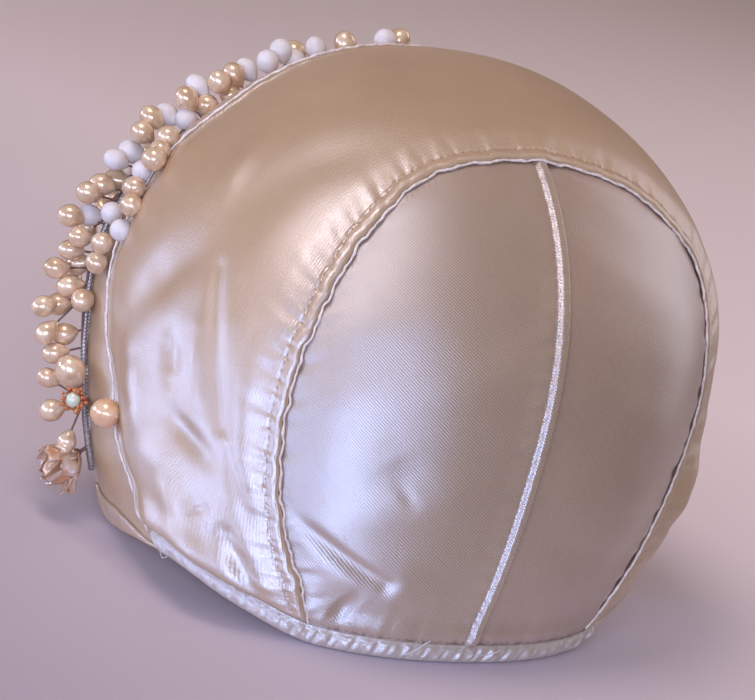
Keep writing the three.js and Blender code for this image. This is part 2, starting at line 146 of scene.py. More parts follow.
BACK_FOLDS = [
    Fold(41.5, 117, 32, 144, -2.8, 2.4),
    Fold(43, 119, 31, 143, 1.2, 7.0),
    Fold(41, 142, 40, 147, -2.0, 5.0),
    Fold(44, 130, 43, 146, 1.0, 3.0),
    Fold(23.9, 110, 22.2, 120, -0.28, 1.6),
    Fold(25, 98, 22, 112, -0.4, 6.5),
    Fold(40, 70, 32, 110, 1.2, 12.0),
    Fold(30, -60, 26, -120, 0.8, 12.0),
    Fold(38, -110, 36, -140, -1.0, 8.4),
]


def read(rows, x):
    """A table read smoothly between its rows, never beyond them."""
    keys = np.array([row[0] for row in rows], float)
    values = np.array([row[1] for row in rows], float)
    slope = np.diff(values) / np.diff(keys)
    tangent = np.zeros(len(keys))
    before, after = slope[:-1], slope[1:]
    both = before * after > 0
    tangent[1:-1][both] = (2 * before * after)[both] / (before + after)[both]
    x = np.clip(x, keys[0], keys[-1])
    k = np.clip(np.searchsorted(keys, x, side="right") - 1, 0, len(keys) - 2)
    span = keys[k + 1] - keys[k]
    t = (x - keys[k]) / span
    h = t * t * (3 - 2 * t)
    start = t * (1 - t) ** 2 * tangent[k] * span
    end = t * t * (t - 1) * tangent[k + 1] * span
    return values[k] * (1 - h) + values[k + 1] * h + start + end


def smooth(low, high, x):
    t = np.clip((x - low) / (high - low), 0, 1)
    return t * t * (3 - 2 * t)


def mix(a, b, t):
    return a + (b - a) * t


def one(value):
    return np.array(float(value))


def hump(x, middle, width):
    """A smooth rise to 1 at a place, and back to 0 beyond its width."""
    return np.exp(-((x - middle) / width) ** 2)


def unit(v):
    return v / np.linalg.norm(v, axis=-1, keepdims=True)


def direction(reach, clock):
    r, c = np.radians(reach), np.radians(clock)
    return np.stack([np.sin(r) * np.sin(c), np.cos(r) * np.ones_like(c), np.sin(r) * np.cos(c)], -1)


def turned(turn, down):
    """Direction at a turn round the cap, from the nape, and an angle below level."""
    t, a = np.radians(turn), np.radians(down)
    return np.stack([np.sin(t) * np.cos(a), np.cos(t) * np.cos(a), -np.sin(a) * np.ones_like(t)], -1)


def reach_of(d):
    return np.degrees(np.arccos(np.clip(d[..., 1], -1, 1)))


def clock_of(d):
    return np.degrees(np.arctan2(d[..., 0], d[..., 2]))


def turn_of(d):
    return np.degrees(np.arctan2(np.abs(d[..., 0]), d[..., 1]))


def form_radius(d):
    """Distance from the centre of the cap's form to its surface."""
    x, y, z = d[..., 0], d[..., 1], d[..., 2]
    turn = turn_of(d) / 90
    drop = mix(mix(NAPE_DROP, EAR_DROP, smooth(0, 1, turn)), CHEEK_DROP, smooth(1, 2, turn))
    height = np.where(z > 0, CROWN_RISE, drop)
    length = np.where(y > 0, BACK_REACH, BROW_REACH)
    plan = np.abs(x / HALF_WIDTH) ** PLAN_ROUNDNESS + np.abs(y / length) ** PLAN_ROUNDNESS
    total = plan ** (SIDE_ROUNDNESS / PLAN_ROUNDNESS) + np.abs(z / height) ** SIDE_ROUNDNESS
    clock = np.abs(clock_of(d))
    upper = mix(BROW_FALL, TEMPLE_FALL, np.clip(clock / TEMPLE_CLOCK, 0, 1))
    fall = upper * (1 - np.clip((clock - TEMPLE_CLOCK) / TEMPLE_FADE, 0, 1))
    past = np.clip((reach_of(d) - BROW_FALL_START) / BROW_FALL_SPAN, 0, 1)
    return total ** (-1 / SIDE_ROUNDNESS) * (1 - fall * past * past)


def turned_pair(a, b, angle):
    """Two coordinates turned about the third."""
    return a * math.cos(angle) - b * math.sin(angle), a * math.sin(angle) + b * math.cos(angle)


def leaned(p):
    """From the form's own axes to the cap standing on its hem."""
    y, z = turned_pair(p[..., 1], p[..., 2], -LEAN)
    return np.stack([p[..., 0], y, z + NAPE_RISE], -1)


def stand(d, off):
    """The point that stands off the form, before the origin is moved."""
    p = d * (form_radius(d) + off)[..., None]
    return leaned(p + np.array([0, 0, CENTRE_HEIGHT]))


def meet(path, search, target, off):
    """Slides along a path of directions until its point meets a height."""
    a = np.full(np.shape(off), search[0])
    b = np.full(np.shape(off), search[1])
    for _ in range(SEARCH_ROUNDS):
        m = (a + b) / 2
        d = path(m)
        above = stand(d, off)[..., 2] > target(d)
        a, b = np.where(above, m, a), np.where(above, b, m)
    return a


def lift_at(turn):
    return EAR_RISE * read(HEM_LINE, np.abs(turn))


def hem_lift(d):
    return lift_at(turn_of(d))


def over_hem(d):
    return hem_lift(d) + HEM_HEIGHT - HEM_TUCK


def at_height(turn, height, off):
    """The point at a turn round the cap that stands off the form at a height."""
    turn, height, off = np.broadcast_arrays(turn, height, off)
    down = meet(lambda m: turned(turn, m), DOWN_SEARCH, lambda d: height, off)
    return stand(turned(turn, down), off)


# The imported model's origin is the middle of its footprint, so the hem says how far the
# form's own axes lie from it.
hem_back = at_height(np.array([0.0]), np.array([0.0, HEM_HEIGHT]), LAYER_GAP + HEM_WALL)[:, 1].max()
SHIFT = np.array([0.0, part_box("hem_binding")[1][1] / MM - hem_back, 0.0])


def arch_at(clock):
    """The arch seam, which on the wearer's right runs wider at the shoulder, narrower low down."""
    wider = SHOULDER_SHIFT * hump(clock, -SHOULDER_CLOCK, SHOULDER_SPREAD)
    narrower = NAPE_SHIFT * hump(clock, -NAPE_CLOCK, NAPE_SPREAD)
    return read(ARCH_SEAM, np.abs(clock)) + wider - narrower


def front_at(clock):
    return read(FRONT_SEAM, np.abs(clock))


def edge_at(clock):
    return read(FRONT_EDGE, np.abs(clock))


def cloth_angle(length):
    return np.degrees(length / CROWN_RISE)


# A fold is this share shallower at its ends, so two that meet add up to one.
END_FADE = 0.5


def fold_sum(folds, d):
    """Puff of the cloth at each direction, from the rows of a fold table."""
    total = np.zeros(d.shape[:-1])
    for fold in folds:
        a = direction(one(fold.reach_from), one(fold.clock_from))
        b = direction(one(fold.reach_to), one(fold.clock_to))
        run = b - a
        t = np.clip(((d - a) @ run) / (run @ run), 0, 1)
        away = np.linalg.norm(d - a - t[..., None] * run, axis=-1) * CROWN_RISE
        fade = 1 - END_FADE * np.cos(np.pi * t) ** 4
        total += fold.depth * fade * hump(away, 0, fold.width)
    return total


# Shares of the pitch and heights of the waves that add up to a ripple.
RIPPLE_WAVES = ((1.0, 0.55), (0.61, 0.3), (1.73, 0.35))


def ripple(x, pitch, seed):
    """An uneven wave, about -1 to 1, along a length."""
    rng = np.random.default_rng(seed)
    total = np.zeros(np.shape(x))
    for share, height in RIPPLE_WAVES:
        total = total + height * np.sin(2 * np.pi * x / (pitch * share) + rng.uniform(0, 6.28))
    return total


# Raised and sunk lines beside an edge, by their distance from it, in millimetres.
Ridge = namedtuple("Ridge", "at height width")
# Gathers beside an edge: uneven waves along it that fade away from a line.
Gather = namedtuple("Gather", "at height width pitch seed")


def ridges(rows, s):
    return sum(row.height * hump(s, row.at, row.width) for row in rows)


def gathers(rows, run, s):
    return sum(row.height * ripple(run, row.pitch, row.seed) * hump(s, row.at, row.width) for row in rows)


# Camera, as the photograph was taken, about the form's own axes.
VIEW_TURN = 30.8
VIEW_RISE = 17.9
VIEW_ROLL = 14.8
VIEW_DISTANCE = 900.0
VIEW_SCALE = 3.2
VIEW_TARGET_HEIGHT = 90.0
VIEW_SHIFT = (-8.1, -24.6)
PHOTO_WIDTH = 755
PHOTO_HEIGHT = 700
SENSOR = 36.0
# How far before and behind the form's middle a pixel's ray is followed, and how finely.
RAY_BEFORE = 170.0
RAY_BEHIND = 120.0
RAY_STEP = 0.1

View = namedtuple("View", "place right up back")


def photo_view():
    """The camera's place and axes, about the same axes as stand() gives points."""
    turn, rise, roll = (math.radians(a) for a in (VIEW_TURN, VIEW_RISE, VIEW_ROLL))
    level_back = np.array([math.sin(turn), math.cos(turn), 0])
    back = level_back * math.cos(rise) + np.array([0, 0, math.sin(rise)])
    level = np.array([-math.cos(turn), math.sin(turn), 0])
    upright = np.cross(level, -back)
    right = level * math.cos(roll) + upright * math.sin(roll)
    up = upright * math.cos(roll) - level * math.sin(roll)
    target = np.array([0, 0, VIEW_TARGET_HEIGHT]) + right * VIEW_SHIFT[0] + up * VIEW_SHIFT[1]
    level_axes = leaned(np.zeros(3))
    turned_axes = [leaned(axis) - level_axes for axis in (right, up, back)]
    return View(leaned(target + back * VIEW_DISTANCE), *turned_axes)


VIEW = photo_view()


def make_camera():
    camera = bpy.data.cameras.new("camera")
    camera.sensor_width = SENSOR
    camera.lens = SENSOR * VIEW_SCALE * VIEW_DISTANCE / PHOTO_WIDTH
    obj = bpy.data.objects.new("camera", camera)
    axes = Matrix([list(VIEW.right), list(VIEW.up), list(VIEW.back)]).transposed()
    obj.matrix_world = Matrix.Translation(Vector((VIEW.place + SHIFT) * MM)) @ axes.to_4x4()
    bpy.context.scene.collection.objects.link(obj)
    bpy.context.scene.camera = obj


def pixel_ray(x, y):
    """Direction from the camera through a pixel of the photograph."""
    focal = VIEW_SCALE * VIEW_DISTANCE
    across = VIEW.right * (x - PHOTO_WIDTH / 2) / focal
    down = VIEW.up * (y - PHOTO_HEIGHT / 2) / focal
    return unit(across - down - VIEW.back)


def along_ray(steps, ray):
    return VIEW.place + np.asarray(steps)[..., None] * ray


def form_gap(p):
    """How far points stand off the form."""
    y, z = turned_pair(p[..., 1], p[..., 2] - NAPE_RISE, LEAN)
    q = np.stack([p[..., 0], y, z - CENTRE_HEIGHT], -1)
    radius = np.linalg.norm(q, axis=-1)
    return radius - form_radius(q / radius[..., None])


def on_cloth(x, y, off):
    """The first place on a pixel's ray that comes as near the form as a distance."""
    ray = pixel_ray(x, y)
    steps = np.arange(VIEW_DISTANCE - RAY_BEFORE, VIEW_DISTANCE + RAY_BEHIND, RAY_STEP)
    gaps = form_gap(along_ray(steps, ray))
    inside = np.nonzero(gaps < off)[0]
    first = inside[0] if len(inside) else np.argmin(gaps)
    return along_ray(steps[first], ray)


def new_object(name, points, faces, uvs=None, smooth_shade=True):
    """A mesh object from points in millimetres on the form's axes, with UVs per point."""
    mesh = bpy.data.meshes.new(name)
    points = (np.asarray(points, float).reshape(-1, 3) + SHIFT) * MM
    faces = np.asarray(faces, np.int32)
    corners = faces.shape[1]
    mesh.vertices.add(len(points))
    mesh.vertices.foreach_set("co", points.ravel())
    mesh.loops.add(faces.size)
    mesh.loops.foreach_set("vertex_index", faces.ravel())
    mesh.polygons.add(len(faces))
    mesh.polygons.foreach_set("loop_start", np.arange(0, faces.size, corners, dtype=np.int32))
    mesh.polygons.foreach_set("loop_total", np.full(len(faces), corners, np.int32))
    if uvs is not None:
        layer = mesh.uv_layers.new(name="cloth")
        layer.data.foreach_set("uv", np.asarray(uvs, float).reshape(-1, 2)[faces.ravel()].ravel())
    mesh.update(calc_edges=True)
    mesh.validate()
    mesh.polygons.foreach_set("use_smooth", np.full(len(mesh.polygons), smooth_shade))
    obj = bpy.data.objects.new(name, mesh)
    bpy.context.scene.collection.objects.link(obj)
    return obj


def grid_faces(columns, rows, first=0, flip=False):
    i, j = np.meshgrid(np.arange(columns - 1), np.arange(rows - 1), indexing="ij")
    a = (first + i * rows + j).ravel()
    quads = np.stack([a, a + 1, a + rows + 1, a + rows], -1)
    return quads[:, ::-1] if flip else quads


def rim_faces(columns, rows):
    """Joins the edges of two stacked grids of the same size."""
    second = columns * rows
    low = np.arange(columns) * rows
    high = low + rows - 1
    start = np.arange(rows)
    end = start + (columns - 1) * rows
    loops = [low[::-1], start, high, end[::-1]]
    quads = []
    for line in loops:
        a, b = line[:-1], line[1:]
        quads.append(np.stack([b, a, a + second, b + second], -1))
    return np.concatenate(quads)


def closed_faces(columns, rows):
    """Faces of two stacked grids, joined round their edges."""
    first = grid_faces(columns, rows)
    second = grid_faces(columns, rows, columns * rows, flip=True)
    return np.concatenate([first, second, rim_faces(columns, rows)])


def make_shell(name, outer, inner, uv):
    """A closed cloth from its outer and inner grids of points."""
    points = np.concatenate([outer.reshape(-1, 3), inner.reshape(-1, 3)])
    uvs = np.concatenate([uv.reshape(-1, 2), uv.reshape(-1, 2)])
    obj = new_object(name, points, closed_faces(*outer.shape[:2]), uvs)
    facing_out(obj)
    return obj


def facing_out(obj):
    mesh = obj.data
    count = len(mesh.vertices)
    co = np.empty(count * 3)
    mesh.vertices.foreach_get("co", co)
    co = co.reshape(-1, 3)
    corners = np.empty(len(mesh.loops), np.int32)
    mesh.loops.foreach_get("vertex_index", corners)
    quads = co[corners.reshape(-1, 4)]
    a, b, c, d = (quads[:, k] for k in range(4))
    volume = (np.cross(a, b) * c).sum() + (np.cross(a, c) * d).sum()
    if volume < 0:
        mesh.flip_normals()


def lengths(points):
    """Running length along axis 0 of a grid of points, in millimetres."""
    step = np.linalg.norm(np.diff(points, axis=0), axis=-1)
    return np.concatenate([np.zeros((1,) + step.shape[1:]), np.cumsum(step, axis=0)])


def sampled(points, run, at):
    """Points along a line, read at running lengths."""
    return np.stack([np.interp(at, run, points[:, axis]) for axis in range(3)], -1)


def end_clock(seam_at, target, off):
    """Where a seam comes down to the hem."""
    return float(meet(lambda c: direction(seam_at(c), c), CLOCK_SEARCH, target, one(off)))


def seam_run(seam_at, clock):
    """Running length along a seam, from its middle."""
    run = lengths(stand(direction(seam_at(clock), clock), np.zeros(len(clock))))
    return run - run[len(run) // 2]


# Distances of a cloth's first rows from its edge: close together where the edge is folded.
EDGE_ROWS = np.array([
    0, 0.12, 0.3, 0.52, 0.8, 1.1, 1.5, 1.9, 2.3, 2.7, 3.0,
    3.3, 3.6, 3.9, 4.2, 4.6, 5.1, 5.7, 6.4, 7.2, 8.1,
])


def banded(width, middle_rows):
    """Row places across a cloth, as distances from its first edge: dense at both edges."""
    span = width - 2 * EDGE_ROWS[-1]
    middle = EDGE_ROWS[-1] + span[:, None] * np.linspace(0, 1, middle_rows + 2)[None, 1:-1]
    first = np.broadcast_to(EDGE_ROWS, (len(width), len(EDGE_ROWS)))
    last = width[:, None] - EDGE_ROWS[None, ::-1]
    return np.concatenate([first, middle, last], 1)


def rolled(s, radius):
    """How far a folded edge drops at a distance s from it, as a quarter round."""
    t = np.clip(1 - s / radius, 0, 1)
    return radius * (1 - np.sqrt(1 - t * t))


ARCH_STITCH = 3.6
THREAD_RADIUS = 0.14
THREAD_DIP = 0.3
# Running stitches: how far apart, the share of that on top of the cloth, and how proud of it.
Stitch = namedtuple("Stitch", "pitch share proud")


def stitch_row(thread, outer, inner, stitch):
    """Running stitches along a line on the cloth, each dipping into it at both ends."""
    run = lengths(outer)
    out = unit(outer - inner)
    t = np.linspace(0, 1, 7)
    rise = np.sin(np.pi * t) * (stitch.proud + THREAD_DIP) - THREAD_DIP
    for start in np.arange(stitch.pitch, run[-1] - stitch.pitch, stitch.pitch):
        at = start + t * stitch.pitch * stitch.share
        path = sampled(outer, run, at) + sampled(out, run, at) * rise[:, None]
        thread.add_rings(tube_rings(path, THREAD_RADIUS, 5))


def row_near(places, place):
    return int(np.argmin(np.abs(places - place)))


BandGrid = namedtuple("BandGrid", "share near far t clock")


def band_grid(columns, middle_rows, span, first_at, last_at, target, off):
    """A band between two seams, down to the hem at both ends: distances from its edges, and clocks."""
    share = np.linspace(-1, 1, columns)
    coarse = np.linspace(0, 1, 9)
    ends = [end_clock(lambda c, t=t: mix(first_at(c), last_at(c), t), target, off) for t in coarse]
    width = np.radians(last_at(share * span) - first_at(share * span)) * CLOTH_RADIUS
    near = banded(width, middle_rows)
    t = near / width[:, None]
    clock = share[:, None] * np.interp(t, coarse, ends)
    return BandGrid(share, near, width[:, None] - near, t, clock)


ARCH_PITCH = 3.4
BAND_COLUMNS = 620
BAND_ROWS = 62
BAND_SPAN = 140.0
BAND_LOFT = 3.2
BAND_EDGE_LIFT = 1.2
BAND_MIDDLE_LIFT = 1.05
BAND_THICKNESS = 0.7
SEAM_BUMP = 1.3
# Folds start this far from either edge, and are whole this far in.
REAR_FADE = (3, 12)
FRONT_FADE = (1, 9)
STITCH_SINK = 0.42
HOLE_PITCH = 1.7
ARCH_STITCHES = Stitch(2.7, 0.5, 0.12)
REAR_RIDGES = [Ridge(1.7, 0.45, 1.1)]
REAR_GATHERS = [Gather(ARCH_STITCH, 0.2, 2.0, ARCH_PITCH, 5), Gather(6, 0.26, 5.0, 8.5, 6)]
FRONT_RIDGES = [Ridge(0.8, 0.42, 0.55), Ridge(1.9, -0.5, 0.55)]
FRONT_GATHERS = [Gather(1, 0.2, 3.0, 9, 12)]
# The cloth is drawn in at the hem binding and swells above it.
HEM_DRAW = 0.8
HEM_SWELL = Ridge(6.5, 2.2, 4.5)


def arch_wave(length):
    """Side-to-side wander of the crown band's folded rear edge, in millimetres."""
    return 0.34 * ripple(length, 11.0, 3)


def front_wave(length):
    """Side-to-side wander of its front edge."""
    return 0.3 * ripple(length, 13, 8)


def crown_band(thread):
    """The wide band over the crown, with stitches and puckers along its rear edge."""
    grid = band_grid(BAND_COLUMNS, BAND_ROWS, BAND_SPAN, arch_at, front_at, over_hem, CLOTH_STAND)
    share, near, far, t, clock = grid
    run = seam_run(arch_at, clock[:, 0])[:, None]
    wander = arch_wave(run) * (1 - smooth(1.5, 7, near)) + front_wave(run) * (1 - smooth(1, 6, far))
    reach = mix(arch_at(clock), front_at(clock), t) + np.degrees(wander / CLOTH_RADIUS)
    d = direction(reach, clock)
    loft = BAND_LOFT * np.sin(np.pi * t) * smooth(0.1, 0.6, np.abs(share))[:, None]
    loft *= 1 - RIGHT_CALM * smooth(0.05, 0.3, -share)[:, None]
    bump = SEAM_BUMP * hump(d[..., 0] * BACK_REACH, 0, 5) * (1 - smooth(0, 16, near))
    lift = BAND_EDGE_LIFT + BAND_MIDDLE_LIFT * smooth(2, 12, near) * smooth(*FRONT_FADE, far)
    puff = fold_sum(BAND_FOLDS, d) * smooth(*REAR_FADE, near) * smooth(*FRONT_FADE, far)
    puff += loft + bump + lift
    holes = 0.6 + 0.4 * np.cos(2 * np.pi * run / HOLE_PITCH)
    puff -= STITCH_SINK * hump(near, ARCH_STITCH, 0.42) * holes
    puff += ridges(REAR_RIDGES, near) + gathers(REAR_GATHERS, run, near) - rolled(near, 0.8)
    puff += ridges(FRONT_RIDGES, far) + gathers(FRONT_GATHERS, run, far) - rolled(far, 0.8)
    below = stand(d, puff)[..., 2] - over_hem(d)
    puff *= 1 - HEM_DRAW * np.exp(-np.clip(below, 0, None) / 1.6)
    puff += ridges([HEM_SWELL], below) * smooth(35, 60, turn_of(d))
    outer = stand(d, puff)
    inner = stand(d, np.minimum(puff - BAND_THICKNESS, np.maximum(puff - 1.0, 0.2)))
    row = row_near(EDGE_ROWS, ARCH_STITCH)
    stitch_row(thread, outer[:, row], inner[:, row], ARCH_STITCHES)
    uv = np.stack([np.broadcast_to(run, near.shape), near], -1) * MM
    return make_shell("crown_band_satin", outer, inner, uv)


# The thin wavy lip: how far out from the edge it runs, how high, and how thick.
LIP_OUT = 0.42
LIP_LIFT = 0.62
LIP_RADIUS = 0.4
FRONT_LIP_LIFT = 1.25


def edge_lip(word, seam_at, outward):
    """The turned-in edge of the crown band that shows as a thin wavy line along a seam; its pale colour
    is a painted highlight.
    """
    clock = np.linspace(-1, 1, 1500) * end_clock(seam_at, over_hem, CLOTH_STAND)
    run = seam_run(seam_at, clock)
    wander = arch_wave(run) if outward < 0 else front_wave(run)
    out = LIP_OUT + 0.16 * ripple(run, 6.5, 91) + 0.1 * ripple(run, 3.1, 92)
    d = direction(seam_at(clock) + np.degrees((wander + outward * out) / CLOTH_RADIUS), clock)
    over = seam_rise(d) if outward < 0 else FRONT_LIP_LIFT
    lift = LIP_LIFT + 0.14 * ripple(run, 5.2, 93) + over
    lip = Gathered()
    lip.add_rings(tube_rings(stand(d, lift), LIP_RADIUS + 0.09 * ripple(run, 7.0, 94), 8))
    return lip.finish(f"crown_band_{word}_lip", SATIN_LIP_HIGHLIGHT)


def seam_rise(d):
    """How much the crown band stands off where the centre back seam runs under it."""
    return 1.1 * hump(d[..., 0] * BACK_REACH, 0, 4)


CENTRE_PITCH = 4.3
CENTRE_LINE = 3.5
CENTRE_STITCHES = Stitch(CENTRE_PITCH, 0.42, 0.45)
HEM_LINE_UP = 2.6
HEM_STITCHES = Stitch(2.6, 0.7, 0.3)
PANEL_COLUMNS = 120
PANEL_ROWS = 170
PANEL_THICKNESS = 0.9
SHOULDER_TURN = 50.0
# The first columns, beside the centre seam, take this share of the panel's breadth.
DENSE_COLUMNS = 34
DENSE_SHARE = 0.11
LAP_RISE = 1.2
LAP_FOLD = 0.75
CENTRE_GATHERS = [
    Gather(2.0, 0.16, 1.4, CENTRE_PITCH, 31), Gather(6.5, 0.2, 3.0, CENTRE_PITCH * 1.5, 33),
]
UNDER_ARCH_GATHERS = [Gather(2.0, 0.3, 3.5, 9, 41)]
PANEL_SWELL = Ridge(4.5, 0.9, 3.2)


def four_sided(bottom, top, first, last, u, v):
    """Directions that fill the space between four edges."""
    u, v = u[:, None, None], v[None, :, None]
    d = bottom[:, None] * (1 - v) + top[:, None] * v + first[None] * (1 - u) + last[None] * u
    d = d - bottom[0] * (1 - u) * (1 - v) - bottom[-1] * u * (1 - v)
    return unit(d - top[0] * (1 - u) * v - top[-1] * u * v)


def panel_directions(side, u, v):
    """One panel of the back, from the centre seam out to its edge under the crown band."""
    def outer_reach(clock):
        return arch_at(side * clock) + cloth_angle(LAP_WIDTH)

    def on_arch(clock):
        return direction(outer_reach(clock), clock)

    def on_middle(down):
        return turned(np.zeros_like(down), down)

    corner = end_clock(outer_reach, over_hem, 0.0)
    nape = float(meet(on_middle, DOWN_SEARCH, over_hem, one(CLOTH_STAND)))
    turns = float(turn_of(on_arch(one(corner)))) * u
    off = CLOTH_STAND * (1 - u) ** 4
    bottom = turned(turns, meet(lambda m: turned(turns, m), DOWN_SEARCH, over_hem, off))
    first = on_middle(mix(nape, -float(outer_reach(one(0))), v))
    last = on_arch(mix(corner, SHOULDER_TURN, v))
    d = four_sided(bottom, on_arch(SHOULDER_TURN * u), first, last, u, v)
    shift = BACK_LAP_WIDTH - BACK_LAP_SHIFT if side > 0 else BACK_LAP_SHIFT
    d[..., 0] -= shift / BACK_REACH * (1 - u[:, None]) ** 4
    d[..., 0] *= side
    return unit(d)


def centre_seam(rise, s):
    """The folded and topstitched edge that laps over the other panel."""
    low = 1 - smooth(20, 110, rise)
    puff = LAP_RISE * (1 - smooth(2.4, 4.4, s)) + 0.35 * (1 - smooth(4.4, 11, s))
    dimple = np.clip(np.cos(2 * np.pi * rise / CENTRE_PITCH), 0, 1) ** 3
    sunk = (0.25 + (0.45 + 0.3 * low) * dimple) * hump(s, CENTRE_LINE, 0.75)
    return puff - rolled(s, LAP_FOLD) * 1.2 - sunk + gathers(CENTRE_GATHERS, rise, s)


def back_panel(side, thread, hem_thread):
    """One panel of the back: its folded edge laps over the other on the wearer's left."""
    dense = np.linspace(0, DENSE_SHARE, DENSE_COLUMNS)[:-1]
    u = np.concatenate([dense, np.linspace(DENSE_SHARE, 1, PANEL_COLUMNS - len(dense))])
    d = panel_directions(side, u, np.linspace(0, 1, PANEL_ROWS))
    flat = stand(d, np.zeros(d.shape[:-1]))
    run = lengths(np.swapaxes(flat, 0, 1)).T
    rise = run[:1]
    s = lengths(flat)
    under_arch = arch_at(clock_of(d)) - reach_of(d)
    puff = fold_sum(BACK_FOLDS, d) * smooth(-3, 8, under_arch)
    puff += 0.25 * ripple(run + 0.3 * s, 31, 21 + side) * smooth(4, 25, s)
    if side > 0:
        puff += centre_seam(rise, s)
    near_arch = np.radians(under_arch) * CLOTH_RADIUS
    puff += gathers(UNDER_ARCH_GATHERS, run + 0.4 * s, near_arch) * smooth(6, 14, s)
    puff -= 0.45 * (1 - smooth(-1.5, 1.5, near_arch))
    below = stand(d, puff)[..., 2] - over_hem(d)
    over = np.clip(below, 0, None)
    puff += ridges([PANEL_SWELL], below) - 0.9 * np.exp(-over)
    puff += 0.3 * ripple(s, 7.5, 51) * np.exp(-over / 6.0)
    outer, inner = stand(d, puff), stand(d, puff - PANEL_THICKNESS)
    if side > 0:
        column = row_near(s[:, PANEL_ROWS // 2], CENTRE_LINE)
        stitch_row(thread, outer[column, 3:-8], inner[column, 3:-8], CENTRE_STITCHES)
    row = row_near(rise[0], HEM_LINE_UP)
    stitch_row(hem_thread, outer[8:-14, row], inner[8:-14, row], HEM_STITCHES)
    uv = np.stack([run, s * side], -1) * MM
    return make_shell(f"back_panel_{WORDS[side]}_satin", outer, inner, uv)


FRONT_COLUMNS = 460
FRONT_ROWS = 12
FRONT_SPAN = 128.0
FRONT_THICKNESS = 1.2


def front_band():
    """The narrow band that frames the face, its outer edge turned in."""
    def start(clock):
        return front_at(clock) - cloth_angle(LAP_WIDTH)

    grid = band_grid(FRONT_COLUMNS, FRONT_ROWS, FRONT_SPAN, start, edge_at, hem_lift, 0.0)
    run = seam_run(edge_at, grid.clock[:, -1])[:, None]
    run = run - run[0]
    d = direction(mix(start(grid.clock), edge_at(grid.clock), grid.t), grid.clock)
    puff = (0.25 * ripple(run, 27, 61) + 0.12 * ripple(run, 8, 62)) * smooth(5, 12, grid.near)
    puff += 0.25 * hump(grid.far, 1.0, 0.8) - rolled(grid.far, 0.9)
    uv = np.stack([np.broadcast_to(run, grid.near.shape), grid.near], -1) * MM
    return make_shell("front_band_satin", stand(d, puff), stand(d, puff - FRONT_THICKNESS), uv)


def strip_shell(name, turn, height, outside, inside):
    """A closed strip from grids of turn, height and the stand-off of both its faces."""
    outer = at_height(turn, height, outside)
    inner = at_height(turn, height, inside)
    across = lengths(np.swapaxes(outer, 0, 1)).T
    uv = np.stack([lengths(outer), across], -1) * MM
    return make_shell(name, outer, inner, uv)


HEM_PAST = 1.0
FACING_SHORT = 2.5


def end_turn(seam_at, target, off):
    corner = one(end_clock(seam_at, target, off))
    return float(turn_of(direction(seam_at(corner), corner)))


def hem_ends():
    """Turns at which the binding meets the ear facings, and at which these end."""
    hem_turn, facing_turn = end_turn(front_at, over_hem, CLOTH_STAND), end_turn(edge_at, hem_lift, 0.0)
    return hem_turn + cloth_angle(HEM_PAST), facing_turn - cloth_angle(FACING_SHORT)


HEM_COLUMNS = 520
HEM_RADIUS = 88.0
HEM_ROWS = np.array([[0, 0.02, 0.05, 0.1, 0.18, 0.28, 0.4, 0.52, 0.63, 0.72, 0.8, 0.86, 0.92, 0.97, 1]])
HEM_PROUD = 0.5
# Two places, by their turn, where the binding is more drawn up than elsewhere.
DRAWN_UP = [Ridge(31, 1.2, 4), Ridge(-4, 0.8, 5)]


def hem_binding():
    """The gathered strip round the nape."""
    hem_turn, _ = hem_ends()
    share = np.linspace(-1, 1, HEM_COLUMNS)[:, None]
    up = HEM_ROWS
    turn = hem_turn * share * (1 - HEM_SLANT * (1 - up) * share ** 6)
    run = np.radians(turn) * HEM_RADIUS
    tuck = 1 + ridges(DRAWN_UP[:1], np.abs(turn)) + ridges(DRAWN_UP[1:], turn)
    wave = (0.3 * ripple(run + up * 2, 3.4, 71) + 0.3 * ripple(run - up * 3, 6.4, 72)) * tuck
    profile = 1.0 + 0.75 * np.sin(np.pi * np.clip(up * 1.15, 0, 1)) - 0.7 * smooth(0.8, 1.0, up)
    profile = profile - 0.9 * (1 - np.sqrt(1 - np.clip(1 - up / 0.12, 0, 1) ** 2))
    outside = HEM_PROUD + profile + wave * np.sin(np.pi * np.clip(up, 0.08, 0.92))
    inside = mix(-WALL, LAYER_GAP - 0.2, smooth(0.8, 0.9, np.abs(share))) * np.ones_like(up)
    inside = np.minimum(inside, outside - 0.5)
    return strip_shell("hem_binding_satin", turn, lift_at(turn) + HEM_HEIGHT * up, outside, inside)


FACING_COLUMNS = 90
FACING_ROWS = np.array([[0, 0.03, 0.08, 0.16, 0.3, 0.45, 0.6, 0.72, 0.82, 0.9, 0.95, 0.98, 1]])
FACING_PROUD = 0.95
FACING_START = 0.18
FACING_INSIDE = 0.15


def ear_facing(side):
    """A lower corner of the front band, turned up on the outside."""
    hem_turn, facing_end = hem_ends()
    start = hem_turn * (1 - HEM_SLANT * 0.7) + cloth_angle(EDGE_GAP * 2)
    share = np.linspace(0, 1, FACING_COLUMNS)[:, None]
    up = FACING_ROWS
    turn = side * mix(start, facing_end, share) * np.ones_like(up)
    top = mix(FACING_HEIGHT * FACING_START, FACING_HEIGHT, smooth(0, 0.85, share))
    fall = rolled((1 - up) * top, 0.6) + rolled(up * top, 0.5)
    outside = FACING_PROUD + 0.12 * ripple(share * 45, 6, 81) + 0.2 * np.sin(np.pi * up) - fall
    height = lift_at(turn) + mix(EDGE_GAP * 0.3, 1, up) * top
    name = f"ear_facing_{WORDS[side]}_satin"
    return strip_shell(name, turn, height, outside, np.full(turn.shape, FACING_INSIDE))


def node_tree(name):
    material = bpy.data.materials.new(name)
    material.use_nodes = True
    tree = material.node_tree
    return material, tree, tree.nodes["Principled BSDF"]


def fill(node, values):
    """Sets sockets of a node, each by its name or number."""
    for key, value in values.items():
        node.inputs[key].default_value = value
    return node


